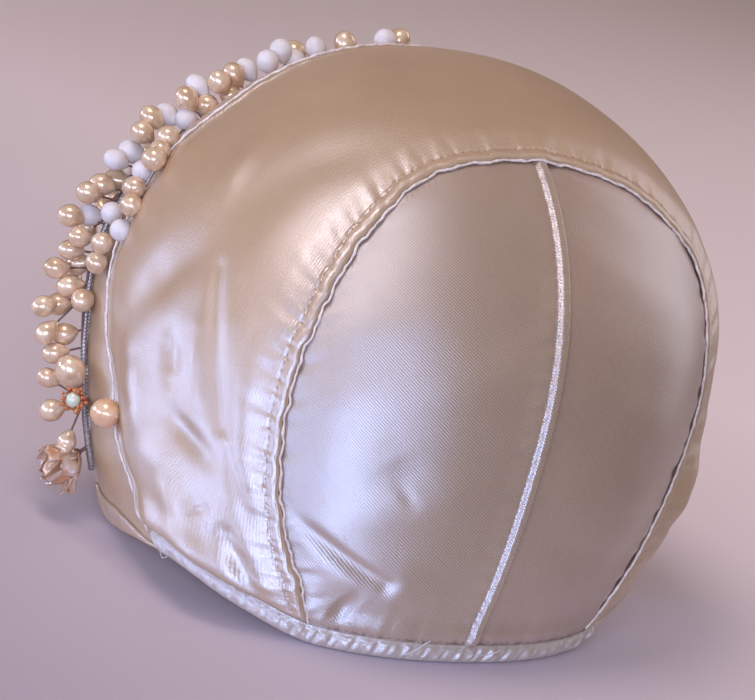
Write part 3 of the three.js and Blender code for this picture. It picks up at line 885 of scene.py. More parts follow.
def add(tree, kind, values=None, **properties):
    """A shader node with its properties and the values of its sockets."""
    node = tree.nodes.new("ShaderNode" + kind)
    for key, value in properties.items():
        setattr(node, key, value)
    return fill(node, values or {})


def join(tree, *wires):
    """Links a node's output to another node's input, a row for each wire."""
    for source, output, target, entry in wires:
        tree.links.new(source.outputs[output], target.inputs[entry])


def ramp(tree, *stops):
    node = add(tree, "ValToRGB")
    for element, (position, colour) in zip(node.color_ramp.elements, stops):
        element.position = position
        element.color = (*colour, 1)
    return node


def grey(value):
    return (value,) * 3


def mottle(tree, scale, detail, roughness=0.5):
    """Noise that stays in place on its object."""
    noise = add(tree, "TexNoise", {"Scale": scale, "Detail": detail, "Roughness": roughness})
    join(tree, (add(tree, "TexCoord"), "Object", noise, "Vector"))
    return noise


# The long floats of the weave lie over each other like shingles, so the sheen is thrown
# a little higher than the cloth itself faces.
FLOAT_LIFT = (0.0, 0.0, 0.42)
SPECKLE_SHARE = 0.5
SATIN_GLOSS = {
    "Anisotropic": 0.7, "Metallic": 0.05, "IOR": 2.3, "Specular IOR Level": 1.0,
    "Specular Tint": (0.78, 0.86, 1.0, 1), "Sheen Weight": 0.15, "Sheen Roughness": 0.4,
    "Sheen Tint": (1.0, 0.82, 0.74, 1),
}


def satin(name, deep, light, weave_turn, twill_share):
    """Satin: a soft long-float weave with a twill line, speckled sheen and slow shading."""
    material, tree, shader = node_tree(name)
    uv = add(tree, "UVMap", uv_map="cloth")
    turned_uv = add(tree, "Mapping", {"Rotation": (0, 0, math.radians(weave_turn))})
    slow = mottle(tree, 22.0, 3.0, 0.55)
    grain = add(tree, "TexNoise", {"Scale": 1900.0, "Detail": 2.0, "Roughness": 0.7})
    lines = {"Scale": 430.0, "Distortion": 0.6, "Detail": 1.0, "Detail Scale": 900.0}
    twill = add(tree, "TexWave", lines, wave_type="BANDS", bands_direction="X")
    slower = add(tree, "Math", {1: 1 - SPECKLE_SHARE}, operation="MULTIPLY")
    speckle = add(tree, "Math", {1: SPECKLE_SHARE}, operation="MULTIPLY_ADD")
    weave = add(tree, "Math", {1: twill_share}, operation="MULTIPLY_ADD")
    shade = ramp(tree, (0.3, deep), (0.72, light))
    rough = ramp(tree, (0.3, grey(0.28)), (0.7, grey(0.37)))
    surface = add(tree, "NewGeometry")
    lifted = add(tree, "VectorMath", {1: FLOAT_LIFT}, operation="ADD")
    evened = add(tree, "VectorMath", operation="NORMALIZE")
    bump = add(tree, "Bump", {"Strength": 0.3, "Distance": 0.0003})
    tangent = add(tree, "Tangent", direction_type="UV_MAP", uv_map="cloth")
    join(
        tree,
        (uv, "UV", turned_uv, "Vector"),
        (uv, "UV", grain, "Vector"),
        (turned_uv, "Vector", twill, "Vector"),
        (slow, "Fac", slower, 0),
        (grain, "Fac", speckle, 0),
        (slower, 0, speckle, 2),
        (speckle, 0, shade, "Fac"),
        (shade, "Color", shader, "Base Color"),
        (grain, "Fac", rough, "Fac"),
        (rough, "Color", shader, "Roughness"),
        (twill, "Fac", weave, 0),
        (grain, "Fac", weave, 2),
        (weave, 0, bump, "Height"),
        (surface, "Normal", lifted, 0),
        (lifted, 0, evened, 0),
        (evened, 0, bump, "Normal"),
        (bump, "Normal", shader, "Normal"),
        (tangent, "Tangent", shader, "Tangent"),
    )
    fill(shader, SATIN_GLOSS)
    return material


def wax(name, colour, edge, roughness, coat, subsurface, metallic=0.0, clear=0.0):
    """Wax: a dipped bead with slight uneven gloss."""
    material, tree, shader = node_tree(name)
    cloud = mottle(tree, 240.0, 3.0)
    shade = ramp(tree, (0.35, edge), (0.65, colour))
    rough = ramp(tree, (0.3, grey(roughness * 0.8)), (0.7, grey(roughness * 1.3)))
    bump = add(tree, "Bump", {"Strength": 0.12, "Distance": 0.0006})
    join(
        tree,
        (cloud, "Fac", shade, "Fac"),
        (cloud, "Fac", rough, "Fac"),
        (cloud, "Fac", bump, "Height"),
        (shade, "Color", shader, "Base Color"),
        (rough, "Color", shader, "Roughness"),
        (bump, "Normal", shader, "Normal"),
    )
    fill(shader, {
        "Metallic": metallic, "Transmission Weight": clear, "Coat Weight": coat, "Coat Roughness": 0.12,
        "Subsurface Weight": subsurface, "Subsurface Scale": 0.004, "Subsurface Radius": (1.0, 0.6, 0.4),
    })
    return material


def plain(name, colour, roughness, metallic=0.0):
    """Thread, wire and cut cloth: one slightly mottled colour."""
    material, tree, shader = node_tree(name)
    noise = mottle(tree, 700.0, 2.0)
    shade = ramp(tree, (0.3, [c * 0.7 for c in colour]), (0.7, colour))
    join(tree, (noise, "Fac", shade, "Fac"), (shade, "Color", shader, "Base Color"))
    fill(shader, {"Roughness": roughness, "Metallic": metallic})
    return material


STEM_BACK = 1.5
STEM_RADIUS = 1.1
STEM_GAP = 0.4
STEM_LIFT = STEM_RADIUS + STEM_GAP
STEM_END = 126.0
BUD_RADIUS = 3.5
BUD_LENGTH = 8.4
BUD_SPACE = 6.3
BUD_OFF = BUD_RADIUS + 0.3

# The buds that the photograph shows, by the pixel of their centre: P is pearl, W white.
PHOTO_BUDS = [
    (345, 45, "P"), (385, 42, "W"), (398, 41, "P"), (316, 50, "W"), (295, 53, "P"), (281, 51, "W"),
    (294, 62, "W"), (268, 62, "W"), (247, 70, "W"), (234, 75, "P"), (220, 83, "P"), (198, 86, "W"),
    (231, 95, "P"), (187, 99, "P"), (208, 106, "P"), (187, 120, "W"), (167, 115, "W"), (152, 118, "P"),
    (143, 133, "P"), (168, 137, "P"), (160, 150, "P"), (154, 159, "P"), (132, 152, "W"),
    (116, 160, "W"), (143, 171, "W"), (116, 180, "P"), (102, 185, "P"), (134, 188, "P"), (89, 193, "P"),
    (71, 216, "P"), (90, 215, "W"), (112, 213, "W"), (121, 230, "W"), (81, 237, "P"), (71, 250, "P"),
    (102, 243, "P"), (56, 268, "P"), (78, 264, "P"), (70, 286, "P"), (83, 300, "P"), (44, 306, "P"),
    (59, 304, "P"), (47, 332, "P"), (65, 334, "P"), (55, 353, "P"), (131, 205, "P"), (97, 262, "P"),
]

# The buds on the brow side, which the photograph doesn't show: from clock to clock in steps,
# a kind for each step, and in each step three places by their reach past the edge and lift.
BROW_STEPS = 13
BROW_FIRST = 5.0
BROW_LAST = 96.0
BROW_KINDS = "PWPPWPWPPWPPP"
BROW_PLACES = ((6.0, 4.6), (1.0, 8.2), (10.0, 4.0))
Stray = namedtuple("Stray", "clock reach lift")
BROW_STRAY = Stray(1.2, 0.6, 0.4)
# On the unseen right half the buds over the brow stand this much lower.
HIDDEN_FALL = 0.55
SHORTEST_STALK = 5.2
MIDDLE_CLEAR = 2.6


def circle(first, second, sides):
    """Directions round a circle, about the planes of two axes."""
    turn = np.linspace(0, 2 * np.pi, sides, endpoint=False)[:, None]
    return np.cos(turn) * first[..., None, :] + np.sin(turn) * second[..., None, :]


def lathe_points(root, centre, radius, length, sides=22, rings=15):
    """A drop-shaped bud: blunt at its outer end and drawn to a point where its wire leaves."""
    axis = unit(centre - root)
    t = np.linspace(0, 1, rings)
    along = -np.cos(np.pi * t)
    tip = np.clip(-along, 0, 1)
    girth = np.sin(np.pi * t) * (1 - 0.34 * tip ** 1.6)
    reach = np.where(along < 0, along * (1 + 0.1 * tip ** 3), along)
    side = unit(np.cross(axis, [0.31, 0.42, 0.85]))
    turn = np.linspace(0, 2 * np.pi, sides, endpoint=False)
    crinkle = 1 + 0.03 * np.cos(5 * turn)[None] * tip[:, None] + 0.012 * np.cos(3 * turn + 2 * t[:, None])
    spread = (girth[:, None] * crinkle)[..., None] * radius
    middle = centre + axis * (reach * length / 2)[:, None, None]
    return middle + circle(side, np.cross(axis, side), sides) * spread


def ring_faces(rings, sides):
    i, j = np.meshgrid(np.arange(rings - 1), np.arange(sides), indexing="ij")
    a = i * sides + j
    b = i * sides + (j + 1) % sides
    return np.stack([a.ravel(), b.ravel(), (b + sides).ravel(), (a + sides).ravel()], -1)


class Gathered:
    """Parts collected into one mesh."""

    def __init__(self):
        self.points = []
        self.faces = []
        self.count = 0

    def add(self, points, faces):
        self.points.append(points.reshape(-1, 3))
        self.faces.append(faces + self.count)
        self.count += len(self.points[-1])

    def add_rings(self, points):
        self.add(points, ring_faces(*points.shape[:2]))

    def finish(self, name, material):
        obj = new_object(name, np.concatenate(self.points), np.concatenate(self.faces))
        obj.data.materials.append(material)
        return obj


def path_axes(path):
    """Two directions square to a path at each of its points."""
    ahead = unit(np.gradient(path, axis=0))
    side = unit(np.cross(ahead, [0.2, 0.3, 0.93]))
    return side, np.cross(ahead, side)


def tube_rings(path, radius, sides=6):
    """Rings round a path of points; the radius may vary along it."""
    path = np.asarray(path, float)
    radius = np.broadcast_to(radius, (len(path),))
    return path[:, None] + circle(*path_axes(path), sides) * radius[:, None, None]


def straight(a, b, count):
    return mix(a, b, np.linspace(0, 1, count)[:, None])


def stem_points(clock):
    return stand(direction(edge_at(clock) - STEM_BACK, clock), np.full(np.shape(clock), STEM_LIFT))


STEM_LINE = stem_points(np.linspace(-30, STEM_END, 1200))

PlacedBud = namedtuple("PlacedBud", "root centre kind")

# How far before the stem a pixel's ray may leave the cloth, and how buds are moved apart.
STEM_BEFORE = 60.0
SETTLE_ROUNDS = 160
SETTLE_SHARE = 0.2
SETTLE_BACK = 0.3
# A wire leaves the stem this many of its points before the place nearest to its bud.
ROOT_BACK = 8


def mirrored(points, side):
    return np.asarray(points) * np.array([side, 1.0, 1.0])


def near_stem(x, y, off):
    """The place on a pixel's ray that passes nearest the stem, clear of the cloth."""
    ray = pixel_ray(x, y)
    depth = (STEM_LINE - VIEW.place) @ ray
    apart = np.linalg.norm(along_ray(depth, ray) - STEM_LINE, axis=1)
    steps = depth[np.argmin(apart)] - np.arange(0, STEM_BEFORE, RAY_STEP)
    gaps = form_gap(along_ray(steps, ray))
    clear = np.nonzero(gaps > off)[0]
    return steps[clear[0]], ray


def settled(buds):
    """Slides buds along their pixels' rays until no two of them fill the same space."""
    steps = np.array([step for step, ray in buds])
    rays = np.array([ray for step, ray in buds])
    count = np.arange(len(buds))
    for _ in range(SETTLE_ROUNDS):
        places = along_ray(steps, rays)
        apart = np.linalg.norm(places[:, None] - places[None], axis=-1)
        order = np.sign(steps[:, None] - steps[None] + 1e-6 * count[:, None])
        push = np.clip(BUD_SPACE - apart, 0, None) * order * (count[:, None] != count)
        steps = steps + SETTLE_SHARE * push.sum(1)
        inside = form_gap(along_ray(steps, rays)) < BUD_OFF
        steps = np.where(inside, steps - SETTLE_BACK, steps)
    return along_ray(steps, rays)


def root_on_stem(centre):
    """Where on the stem a bud's wire starts: a little above the nearest place."""
    k = np.argmin(np.linalg.norm(STEM_LINE - centre, axis=1))
    return STEM_LINE[max(k - ROOT_BACK, 0)]


def seen_buds():
    centres = settled([near_stem(x, y, BUD_OFF) for x, y, _ in PHOTO_BUDS])
    return [PlacedBud(root_on_stem(c), c, kind) for c, (_, _, kind) in zip(centres, PHOTO_BUDS)]


def is_free(centre, placed):
    return all(np.linalg.norm(centre - other.centre) > BUD_SPACE for other in placed)


def left_buds():
    """Buds of the left half: those the photograph shows, then those on the brow side."""
    placed = seen_buds()
    rng = np.random.default_rng(7)
    for step in range(BROW_STEPS):
        for past, lift in BROW_PLACES:
            clock = mix(BROW_FIRST, BROW_LAST, step / (BROW_STEPS - 1)) + rng.normal(0, BROW_STRAY.clock)
            reach = edge_at(one(clock)) + past + rng.normal(0, BROW_STRAY.reach)
            off = lift + rng.normal(0, BROW_STRAY.lift)
            centre = stand(direction(reach, one(clock)), one(off))
            if is_free(centre, placed):
                placed.append(PlacedBud(root_on_stem(centre), centre, BROW_KINDS[step]))
    return placed


def right_buds(left):
    """The unseen right half follows the left one, lower over the brow, where the crown hides it."""
    placed = []
    for bud in left:
        centre, root = mirrored(bud.centre, -1), mirrored(bud.root, -1)
        if centre[0] > -MIDDLE_CLEAR:
            continue
        rise = centre - root
        share = mix(HIDDEN_FALL, 1.0, smooth(20, 75, -centre[0]))
        centre = root + rise * max(share, SHORTEST_STALK / np.linalg.norm(rise))
        if is_free(centre, placed + left):
            placed.append(PlacedBud(root, centre, bud.kind))
    return placed


STALK_RADIUS = 0.34


def add_bud(bud, rng, gathered, stalks):
    """A wax bud and its wired stalk."""
    size = rng.uniform(0.95, 1.07)
    plump = rng.uniform(0.95, 1.05)
    radius, length = BUD_RADIUS * size * plump, BUD_LENGTH * size / plump
    gathered.add_rings(lathe_points(bud.root, bud.centre, radius, length))
    base = bud.centre + unit(bud.root - bud.centre) * length * 0.5
    bend = (bud.root + base) / 2 + rng.normal(0, 0.6, 3)
    t = np.linspace(0, 1, 8)[:, None]
    path = bud.root * (1 - t) ** 2 + 2 * bend * t * (1 - t) + base * t ** 2
    stalks.add_rings(tube_rings(path, STALK_RADIUS))


def wound_thread(gathered, path, radius, pitch, thickness, count):
    """A thread wound round a path."""
    run = lengths(path)
    at = np.linspace(0, run[-1], count)
    middle = sampled(path, run, at)
    side, other = path_axes(middle)
    phase = (at / pitch * 2 * np.pi)[:, None]
    helix = middle + (np.cos(phase) * side + np.sin(phase) * other) * radius
    gathered.add_rings(tube_rings(helix, thickness, 5))


# Branches: buds farther than this from the stem share one, a few to each. It ends at a share
# of the way to them, and stands off the cloth.
SPRIG_REACH = 11.5
SPRIG_SHARE = 0.58
SPRIG_BUDS = 3
SPRIG_STAND = 2.2
SPRIG_RADIUS = 0.5


def on_sprigs(buds, branches):
    """Buds that lie far from the stem share a wound branch, a few to each."""
    far = [bud for bud in buds if np.linalg.norm(bud.centre - bud.root) > SPRIG_REACH]
    placed = [bud for bud in buds if np.linalg.norm(bud.centre - bud.root) <= SPRIG_REACH]
    far.sort(key=lambda bud: -bud.root[2])
    heart = leaned(np.array([0, 0, CENTRE_HEIGHT]))
    for first in range(0, len(far), SPRIG_BUDS):
        group = far[first:first + SPRIG_BUDS]
        root = group[0].root
        hub = mix(root, np.mean([bud.centre for bud in group], axis=0), SPRIG_SHARE)
        away = unit(hub - heart)
        hub = hub + away * (SPRIG_STAND - float(form_gap(hub[None])[0]))
        t = np.linspace(0, 1, 12)[:, None]
        path = mix(root, hub, t) + away * 0.5 * np.sin(np.pi * t)
        branches.add_rings(tube_rings(path, SPRIG_RADIUS, 8))
        wound_thread(branches, path, SPRIG_RADIUS * 1.1, 0.9, 0.2, 240)
        placed += [PlacedBud(hub, bud.centre, bud.kind) for bud in group]
    return placed


# The stem is a core with a thread wound round it and two loose wires beside it.
CORE_RADIUS = STEM_RADIUS * 0.78
WOUND_RADIUS = STEM_RADIUS * 0.84
LooseWire = namedtuple("LooseWire", "pitch seed wander aside back up radius")
LOOSE_WIRES = [LooseWire(14, 17, 0.7, 0.0, -0.9, 0.0, 0.42), LooseWire(19, 27, 0.8, 0.8, 0.0, 0.5, 0.36)]


def garland_half(side, buds):
    """Stem, wrapping thread, stalks and wax buds of one half of the garland."""
    rng = np.random.default_rng(9 if side > 0 else 13)
    pearls, whites, stalks, stem = (Gathered() for _ in range(4))
    for bud in on_sprigs(buds, stem):
        add_bud(bud, rng, pearls if bud.kind == "P" else whites, stalks)
    path = stem_points(side * np.linspace(cloth_angle(0.5), STEM_END, 150))
    run = lengths(path)
    stem.add_rings(tube_rings(path, CORE_RADIUS, 10))
    wound_thread(stem, path, WOUND_RADIUS, 1.15, 0.24, 2600)
    for wire in LOOSE_WIRES:
        beside = np.array([side * wire.aside, wire.back, wire.up])
        wander = ripple(run[:, None], wire.pitch, wire.seed) * wire.wander
        stalks.add_rings(tube_rings(path + wander + beside, wire.radius))
    name = f"garland_{WORDS[side]}"
    pieces = [
        pearls.finish(f"{name}_pearl_buds", PEARL),
        whites.finish(f"{name}_white_buds", WHITE_WAX),
        stalks.finish(f"{name}_stalks", STALK),
        stem.finish(f"{name}_stem", WRAPPED),
    ]
    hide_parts(name)
    return pieces


def ball(centre, radius, sides=14, rings=9):
    t = np.linspace(0, np.pi, rings)[:, None, None]
    ring = circle(np.array([1.0, 0, 0]), np.array([0, 1.0, 0]), sides)
    return centre + radius * (np.sin(t) * ring + np.cos(t) * np.array([0, 0, 1.0]))


# The spray at the ear, by pixels of the photograph; radius and lift in millimetres.
SprayPearl = namedtuple("SprayPearl", "x y radius lift kind")
SPRAY = [
    SprayPearl(71, 372, 4.8, 9.5, "pearl"), SprayPearl(48, 378, 3.1, 9.0, "pearl"),
    SprayPearl(52, 410, 3.6, 8.5, "pearl"), SprayPearl(105, 413, 4.6, 6.0, "amber pearl"),
    SprayPearl(67, 441, 3.1, 10.0, "pearl"),
]
SPRAY_HUB = (84, 400)
SPRAY_LENGTH = 2.35
HUB_LIFT = 2.2
HUB_RADIUS = 1.4
GREEN_BEAD = (73, 400)
BEAD_RADIUS = 2.4
BEAD_LIFT = 10.5
# Amber crumbs lie round the bead, but not on the side that looks this way.
BEAD_FACE = (0.5, 0.8, 0.3)
CRUMBS = 110
CRUMB_NEAR = 2.3
CRUMB_FAR = 4.2
CRUMB_RADII = (0.35, 0.85)


def spray_place(x, y, off):
    return along_ray(*near_stem(x, y, off))


def ear_spray(side):
    """The larger pearls beside the ear flower, with its crumbs and green bead."""
    rng = np.random.default_rng(17)
    hub = mirrored(on_cloth(*SPRAY_HUB, HUB_LIFT), side)
    pearls, golden, stalks, crumbs, green = (Gathered() for _ in range(5))
    for pearl in SPRAY:
        off = max(pearl.radius + 0.5, pearl.lift - 2)
        centre = mirrored(spray_place(pearl.x, pearl.y, off), side)
        target = golden if pearl.kind == "amber pearl" else pearls
        target.add_rings(lathe_points(hub, centre, pearl.radius, pearl.radius * SPRAY_LENGTH))
        stalks.add_rings(tube_rings(straight(hub, centre, 6), 0.35))
    stalks.add_rings(ball(hub, HUB_RADIUS))
    heart = mirrored(spray_place(*GREEN_BEAD, BEAD_LIFT), side)
    green.add_rings(ball(heart, BEAD_RADIUS))
    stalks.add_rings(tube_rings(straight(hub, heart, 6), 0.5))
    for _ in range(CRUMBS):
        spot = unit(rng.normal(0, 1, 3))
        if spot @ mirrored(BEAD_FACE, side) > 0.5:
            continue
        place = heart + spot * rng.uniform(CRUMB_NEAR, CRUMB_FAR)
        crumbs.add_rings(ball(place, rng.uniform(*CRUMB_RADII), 7, 5))
    name = f"ear_pearls_{WORDS[side]}"
    pieces = [
        pearls.finish(f"{name}_drops", PEARL),
        golden.finish(f"{name}_golden_drop", GOLDEN),
        stalks.finish(f"{name}_stalks", STALK),
        green.finish(f"{name}_green_bead", GREEN),
        crumbs.finish(f"{name}_crumbs", AMBER),
    ]
    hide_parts(name)
    return pieces


# The flower: open and upright petals take turns, and their fans are turned a little unevenly.
PETALS = 10
PETAL_LENGTH = 12.5
PETAL_WIDTH = 11.0
PETAL_THICKNESS = 0.4
PETAL_TILTS = (36, 70)
PETAL_STRAY = 12
PETAL_SINK = 3.0
FLOWER_CENTRE = (70, 458)
FLOWER_OFF = 6.0
FLOWER_STEM_BACK = 4.0
# It looks away from the stem, toward a place by its reach, clock and lift, and a little back.
FLOWER_LOOK = (99, 120, 30)
FLOWER_TURN = (0.0, 0.7, -0.1)
HEART_RADIUS = 1.7
HEART_SINK = 2.4


def petal_grid(phases, turn, tilt, thickness):
    """One face of a cupped, curled and frilled petal."""
    across = np.linspace(-1, 1, 15)[:, None]
    up = np.linspace(0, 1, 17)[None]
    half = PETAL_WIDTH / 2 * np.sin(np.pi * mix(0.1, 0.86, up)) ** 0.8
    cup = 0.24 * PETAL_LENGTH * np.sin(np.pi * up * 0.5) * (across ** 2 - 0.4)
    curl = 0.2 * PETAL_LENGTH * up ** 2 + 0.5 * np.sin(across * 5 + phases[0]) * up ** 2
    frill = 0.6 * np.sin(across * 7 + phases[1]) * up ** 3
    y, z = turned_pair(cup + curl + thickness, PETAL_LENGTH * up + frill, math.radians(90 - tilt))
    x, y = turned_pair(across * half, y, math.radians(turn))
    return np.stack([x, y, z], -1)


def flower_axes(centre, stem, side):
    """Across, up and ahead of the flower."""
    reach, clock, off = (one(value) for value in FLOWER_LOOK)
    outward = mirrored(stand(direction(reach, clock), off), side) - stem
    axis = unit(unit(centre - stem) + 0.8 * unit(outward) + np.array(FLOWER_TURN))
    across = unit(np.cross(axis, [0, 0, 1.0]))
    return np.stack([across, np.cross(axis, across), axis])


def ear_flower(side):
    """The translucent wax flower at the ear."""
    rng = np.random.default_rng(23)
    centre = mirrored(spray_place(*FLOWER_CENTRE, FLOWER_OFF), side)
    stem = stem_points(one(side * (STEM_END - FLOWER_STEM_BACK)))
    axes = flower_axes(centre, stem, side)
    axis = axes[2]
    petals, heart = Gathered(), Gathered()
    for k in range(PETALS):
        turn = k * 360 / PETALS + PETAL_STRAY * (k % 3)
        phases = rng.uniform(0, 6, 2)
        grids = [petal_grid(phases, turn, PETAL_TILTS[k % 2], off) for off in (0.0, PETAL_THICKNESS)]
        both = np.stack(grids) @ axes + centre - axis * PETAL_SINK
        petals.add(both, closed_faces(*grids[0].shape[:2]))
    heart.add_rings(tube_rings(straight(stem, centre - axis * 2, 8), 0.6))
    heart.add_rings(ball(centre - axis * HEART_SINK, HEART_RADIUS))
    name = f"ear_flower_{WORDS[side]}"
    pieces = [petals.finish(f"{name}_petals", PETAL), heart.finish(f"{name}_stalk", STALK)]
    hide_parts(name)
    return pieces


# Panels of soft light, all turned to the middle of the cap: place and size in metres, watts.
Panel = namedtuple("Panel", "name place size power colour")
PANELS = [
    Panel("key_left", (0.6, 0.86, 0.34), (0.82, 0.42), 7.6, (0.48, 0.61, 1.0)),
    Panel("side_left", (1.04, 0.06, 0.2), (0.7, 0.3), 4.2, (0.5, 0.63, 1.0)),
    Panel("front_left", (0.82, -0.62, 0.2), (0.45, 0.24), 2.5, (0.54, 0.65, 1.0)),
    Panel("above_left", (0.36, 0.04, 1.1), (0.46, 0.36), 4.2, (1.0, 0.86, 0.86)),
    Panel("above_camera", (0.56, 1.1, 0.52), (0.09, 0.09), 1.5, (0.8, 0.86, 1.0)),
    Panel("fill_right", (-1.12, -0.32, 0.68), (0.8, 0.8), 2.7, (1.0, 0.9, 0.92)),
]
PANELS_AIM = (0, 0, 0.085)
# The room is brighter toward this direction than away from it.
ROOM_UP = (0.5, 0.1, 0.86)
ROOM_DIM = (0.4, 0.3, 0.24)
ROOM_BRIGHT = (1.0, 0.84, 0.72)
ROOM_STRENGTH = 0.3


def make_lights():
    """Soft studio light: cool panels low on the left, a warm fill and a pale room."""
    for panel in PANELS:
        light = bpy.data.lights.new(panel.name, "AREA")
        light.shape = "RECTANGLE"
        light.size, light.size_y = panel.size
        light.energy = panel.power
        light.color = panel.colour
        obj = bpy.data.objects.new(panel.name, light)
        obj.location = panel.place
        toward = Vector(PANELS_AIM) - Vector(panel.place)
        obj.rotation_euler = toward.to_track_quat("-Z", "Y").to_euler()
        bpy.context.scene.collection.objects.link(obj)
    world = bpy.data.worlds.new("room")
    world.use_nodes = True
    tree = world.node_tree
    place = add(tree, "TexCoord")
    toward = add(tree, "VectorMath", {1: ROOM_UP}, operation="DOT_PRODUCT")
    spread = add(tree, "MapRange", {"From Min": -0.7})
    shade = ramp(tree, (0.0, ROOM_DIM), (1.0, ROOM_BRIGHT))
    sky = fill(tree.nodes["Background"], {"Strength": ROOM_STRENGTH})
    join(
        tree,
        (place, "Generated", toward, 0),
        (toward, "Value", spread, "Value"),
        (spread, "Result", shade, "Fac"),
        (shade, "Color", sky, "Color"),
    )
    bpy.context.scene.world = world
    bpy.context.scene.view_settings.view_transform = "Standard"


# The pale floor's colour runs lighter along a slope, between two places on it, in metres: painted light
# and shade, standing in for uneven light on the floor.
FLOOR_SLOPE = (-1.0, -0.35, 0.0)
FLOOR_NEAR = -0.2
FLOOR_FAR = 0.35
FLOOR_PAINTED_SHADE = (0.44, 0.36, 0.39)
FLOOR_PAINTED_LIGHT = (1.0, 0.87, 0.91)
FLOOR_HALF = 4.0
FLOOR_DROP = 0.0002


def make_floor():
    corners = np.array([[-1, -1, 0], [1, -1, 0], [1, 1, 0], [-1, 1, 0]], float)
    points = corners * FLOOR_HALF / MM - SHIFT
    floor = new_object("floor", points, np.array([[0, 1, 2, 3]]), smooth_shade=False)
    floor.location.z = -FLOOR_DROP
    material, tree, shader = node_tree("floor_paper")
    place = add(tree, "TexCoord")
    noise = mottle(tree, 5.0, 2.0)
    # Painted light and shade: the floor colour darkens and lightens along the slope; the mottled value
    # mixes this with a faint random mottle.
    along = add(tree, "VectorMath", {1: FLOOR_SLOPE}, operation="DOT_PRODUCT")
    across = add(tree, "MapRange", {"From Min": FLOOR_NEAR, "From Max": FLOOR_FAR})
    mottled = add(tree, "Math", {1: 0.06}, operation="MULTIPLY_ADD")
    shade = ramp(tree, (0.0, FLOOR_PAINTED_SHADE), (1.0, FLOOR_PAINTED_LIGHT))
    join(
        tree,
        (place, "Object", along, 0),
        (along, "Value", across, "Value"),
        (noise, "Fac", mottled, 0),
        (across, "Result", mottled, 2),
        (mottled, 0, shade, "Fac"),
        (shade, "Color", shader, "Base Color"),
    )
    fill(shader, {"Roughness": 0.9})
    floor.data.materials.append(material)


make_camera()

SATIN = satin("satin", (0.44, 0.255, 0.12), (0.66, 0.42, 0.22), 84, 0.25)
SATIN_BACK = satin("satin_back", (0.36, 0.225, 0.14), (0.57, 0.385, 0.245), 38, 0.5)
# Painted shade: the wearer's right panel gets a slightly darker, more taupe copy of the back satin, with
# a fainter twill line.
SATIN_RIGHT_SHADED = satin("satin_right_painted_shade", (0.36, 0.22, 0.14), (0.56, 0.37, 0.24), 38, 0.15)
# Painted highlight: the turned-in lip of the crown band is coloured near white for the bright line its
# folded edge catches.
SATIN_LIP_HIGHLIGHT = plain("satin_lip_painted_highlight", (0.92, 0.78, 0.68), 0.35)
# Painted highlight: the hem binding gets a lighter copy of the satin, standing in for the light its
# puckers catch.
SATIN_EDGE_HIGHLIGHT = satin("satin_edge", (0.56, 0.42, 0.32), (0.68, 0.54, 0.43), 20, 0.3)
PEARL = wax("pearl_wax", (0.88, 0.66, 0.45), (0.66, 0.43, 0.25), 0.2, 0.7, 0.0, 0.3)
GOLDEN = wax("golden_drop", (0.88, 0.62, 0.4), (0.76, 0.44, 0.22), 0.14, 0.6, 0.4, 0.2)
WHITE_WAX = wax("white_wax", (0.78, 0.7, 0.66), (0.7, 0.62, 0.58), 0.5, 0.1, 0.15)
GREEN = wax("green_bead", (0.62, 0.68, 0.48), (0.7, 0.72, 0.56), 0.15, 0.6, 0.2)
WHITE_THREAD = plain("white_thread", (0.86, 0.78, 0.74), 0.45)
TAN_THREAD = plain("tan_thread", (0.5, 0.3, 0.22), 0.5)
AMBER = wax("amber_crumbs", (0.42, 0.09, 0.025), (0.6, 0.22, 0.07), 0.2, 0.5, 0.3)
PETAL = wax("petal_wax", (0.9, 0.58, 0.36), (0.78, 0.38, 0.18), 0.14, 0.6, 0.15, 0.0, 0.6)
STALK = plain("stalk_thread", (0.2, 0.1, 0.075), 0.6)
WRAPPED = plain("stem_thread", (0.43, 0.37, 0.34), 0.35, 0.6)


# Frayed ends under the arch seam and loose thread ends at the hem, by pixels of the photograph.
FRAYED = [(401, 199), (406, 195), (411, 192), (417, 188), (423, 185), (429, 182), (435, 180)]
PRICKS = [(135, 477), (137, 486), (138, 495), (140, 503), (142, 512)]
THREAD_TAILS = [
    [(431, 641), (425, 644), (416, 650), (405, 655)],
    [(440, 649), (456, 652), (474, 655), (488, 655), (500, 651)],
    [(163, 547), (160, 552), (162, 558), (167, 557), (168, 551)],
]


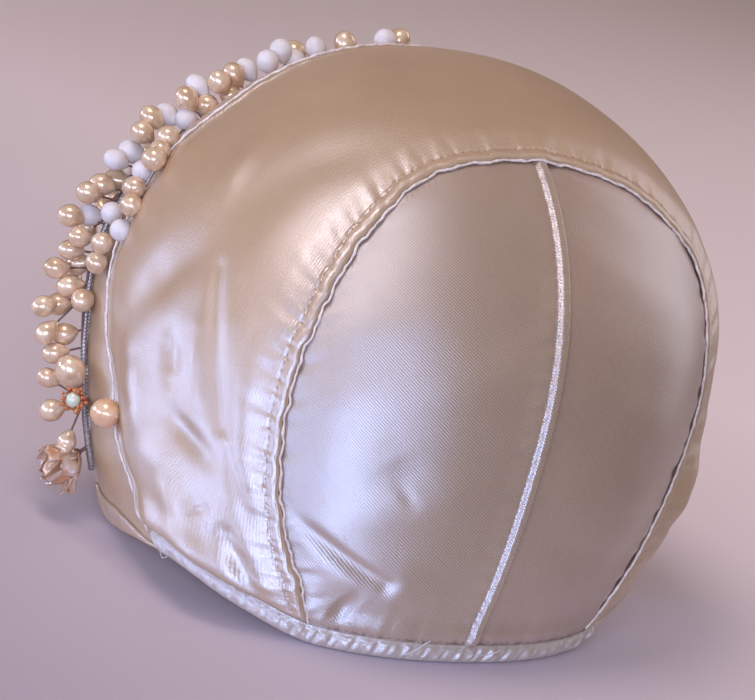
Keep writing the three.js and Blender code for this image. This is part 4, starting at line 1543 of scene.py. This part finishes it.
# Steps of each end from its pixel: right, down and the stand-off in millimetres.
FRAYED_STEPS = [(0, 0, 2.3), (1, 3, 2.6), (1, 6, 2.4)]
PRICK_STEPS = [(0, 0, 0.1), (0.5, 2, 0.75), (1, 4, 0.1)]
TAIL_STAND = 3.4


def thread_ends(white, tan):
    """Frayed ends, prick stitches and loose thread ends, each laid on the cloth."""
    for thread, spots, steps, radius, sides in (
        (tan, FRAYED, FRAYED_STEPS, THREAD_RADIUS * 0.7, 4),
        (white, PRICKS, PRICK_STEPS, THREAD_RADIUS * 1.3, 5),
    ):
        for x, y in spots:
            path = [on_cloth(x + right, y + down, off) for right, down, off in steps]
            thread.add_rings(tube_rings(path, radius, sides))
    for tail in THREAD_TAILS:
        path = np.array([on_cloth(x, y, TAIL_STAND) for x, y in tail])
        knots = np.linspace(0, len(tail) - 1, 4 * len(tail))
        white.add_rings(tube_rings(sampled(path, np.arange(len(tail)), knots), THREAD_RADIUS, 5))


def dress():
    """All of the scene's pieces, each on the one body."""
    white, tan = Gathered(), Gathered()
    cloths = [
        (crown_band(tan), "crown_band", SATIN),
        (back_panel(1, white, tan), "back_panel_left", SATIN_BACK),
        (back_panel(-1, white, tan), "back_panel_right", SATIN_RIGHT_SHADED),
        (front_band(), "front_band", SATIN),
        (hem_binding(), "hem_binding", SATIN_EDGE_HIGHLIGHT),
        (ear_facing(1), "ear_facing_left", SATIN),
        (ear_facing(-1), "ear_facing_right", SATIN),
    ]
    thread_ends(white, tan)
    pieces = [edge_lip("rear", arch_at, -1), edge_lip("front", front_at, 1)]
    pieces += [white.finish("seam_thread", WHITE_THREAD), tan.finish("stitch_thread", TAN_THREAD)]
    for obj, node, material in cloths:
        obj.data.materials.append(material)
        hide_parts(node)
        pieces.append(obj)
    left = left_buds()
    for side, buds in ((1, left), (-1, right_buds(left))):
        pieces += garland_half(side, buds)
        pieces += ear_spray(side)
        pieces += ear_flower(side)
    for piece in pieces:
        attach(piece, "root")


dress()
make_floor()
make_lights()
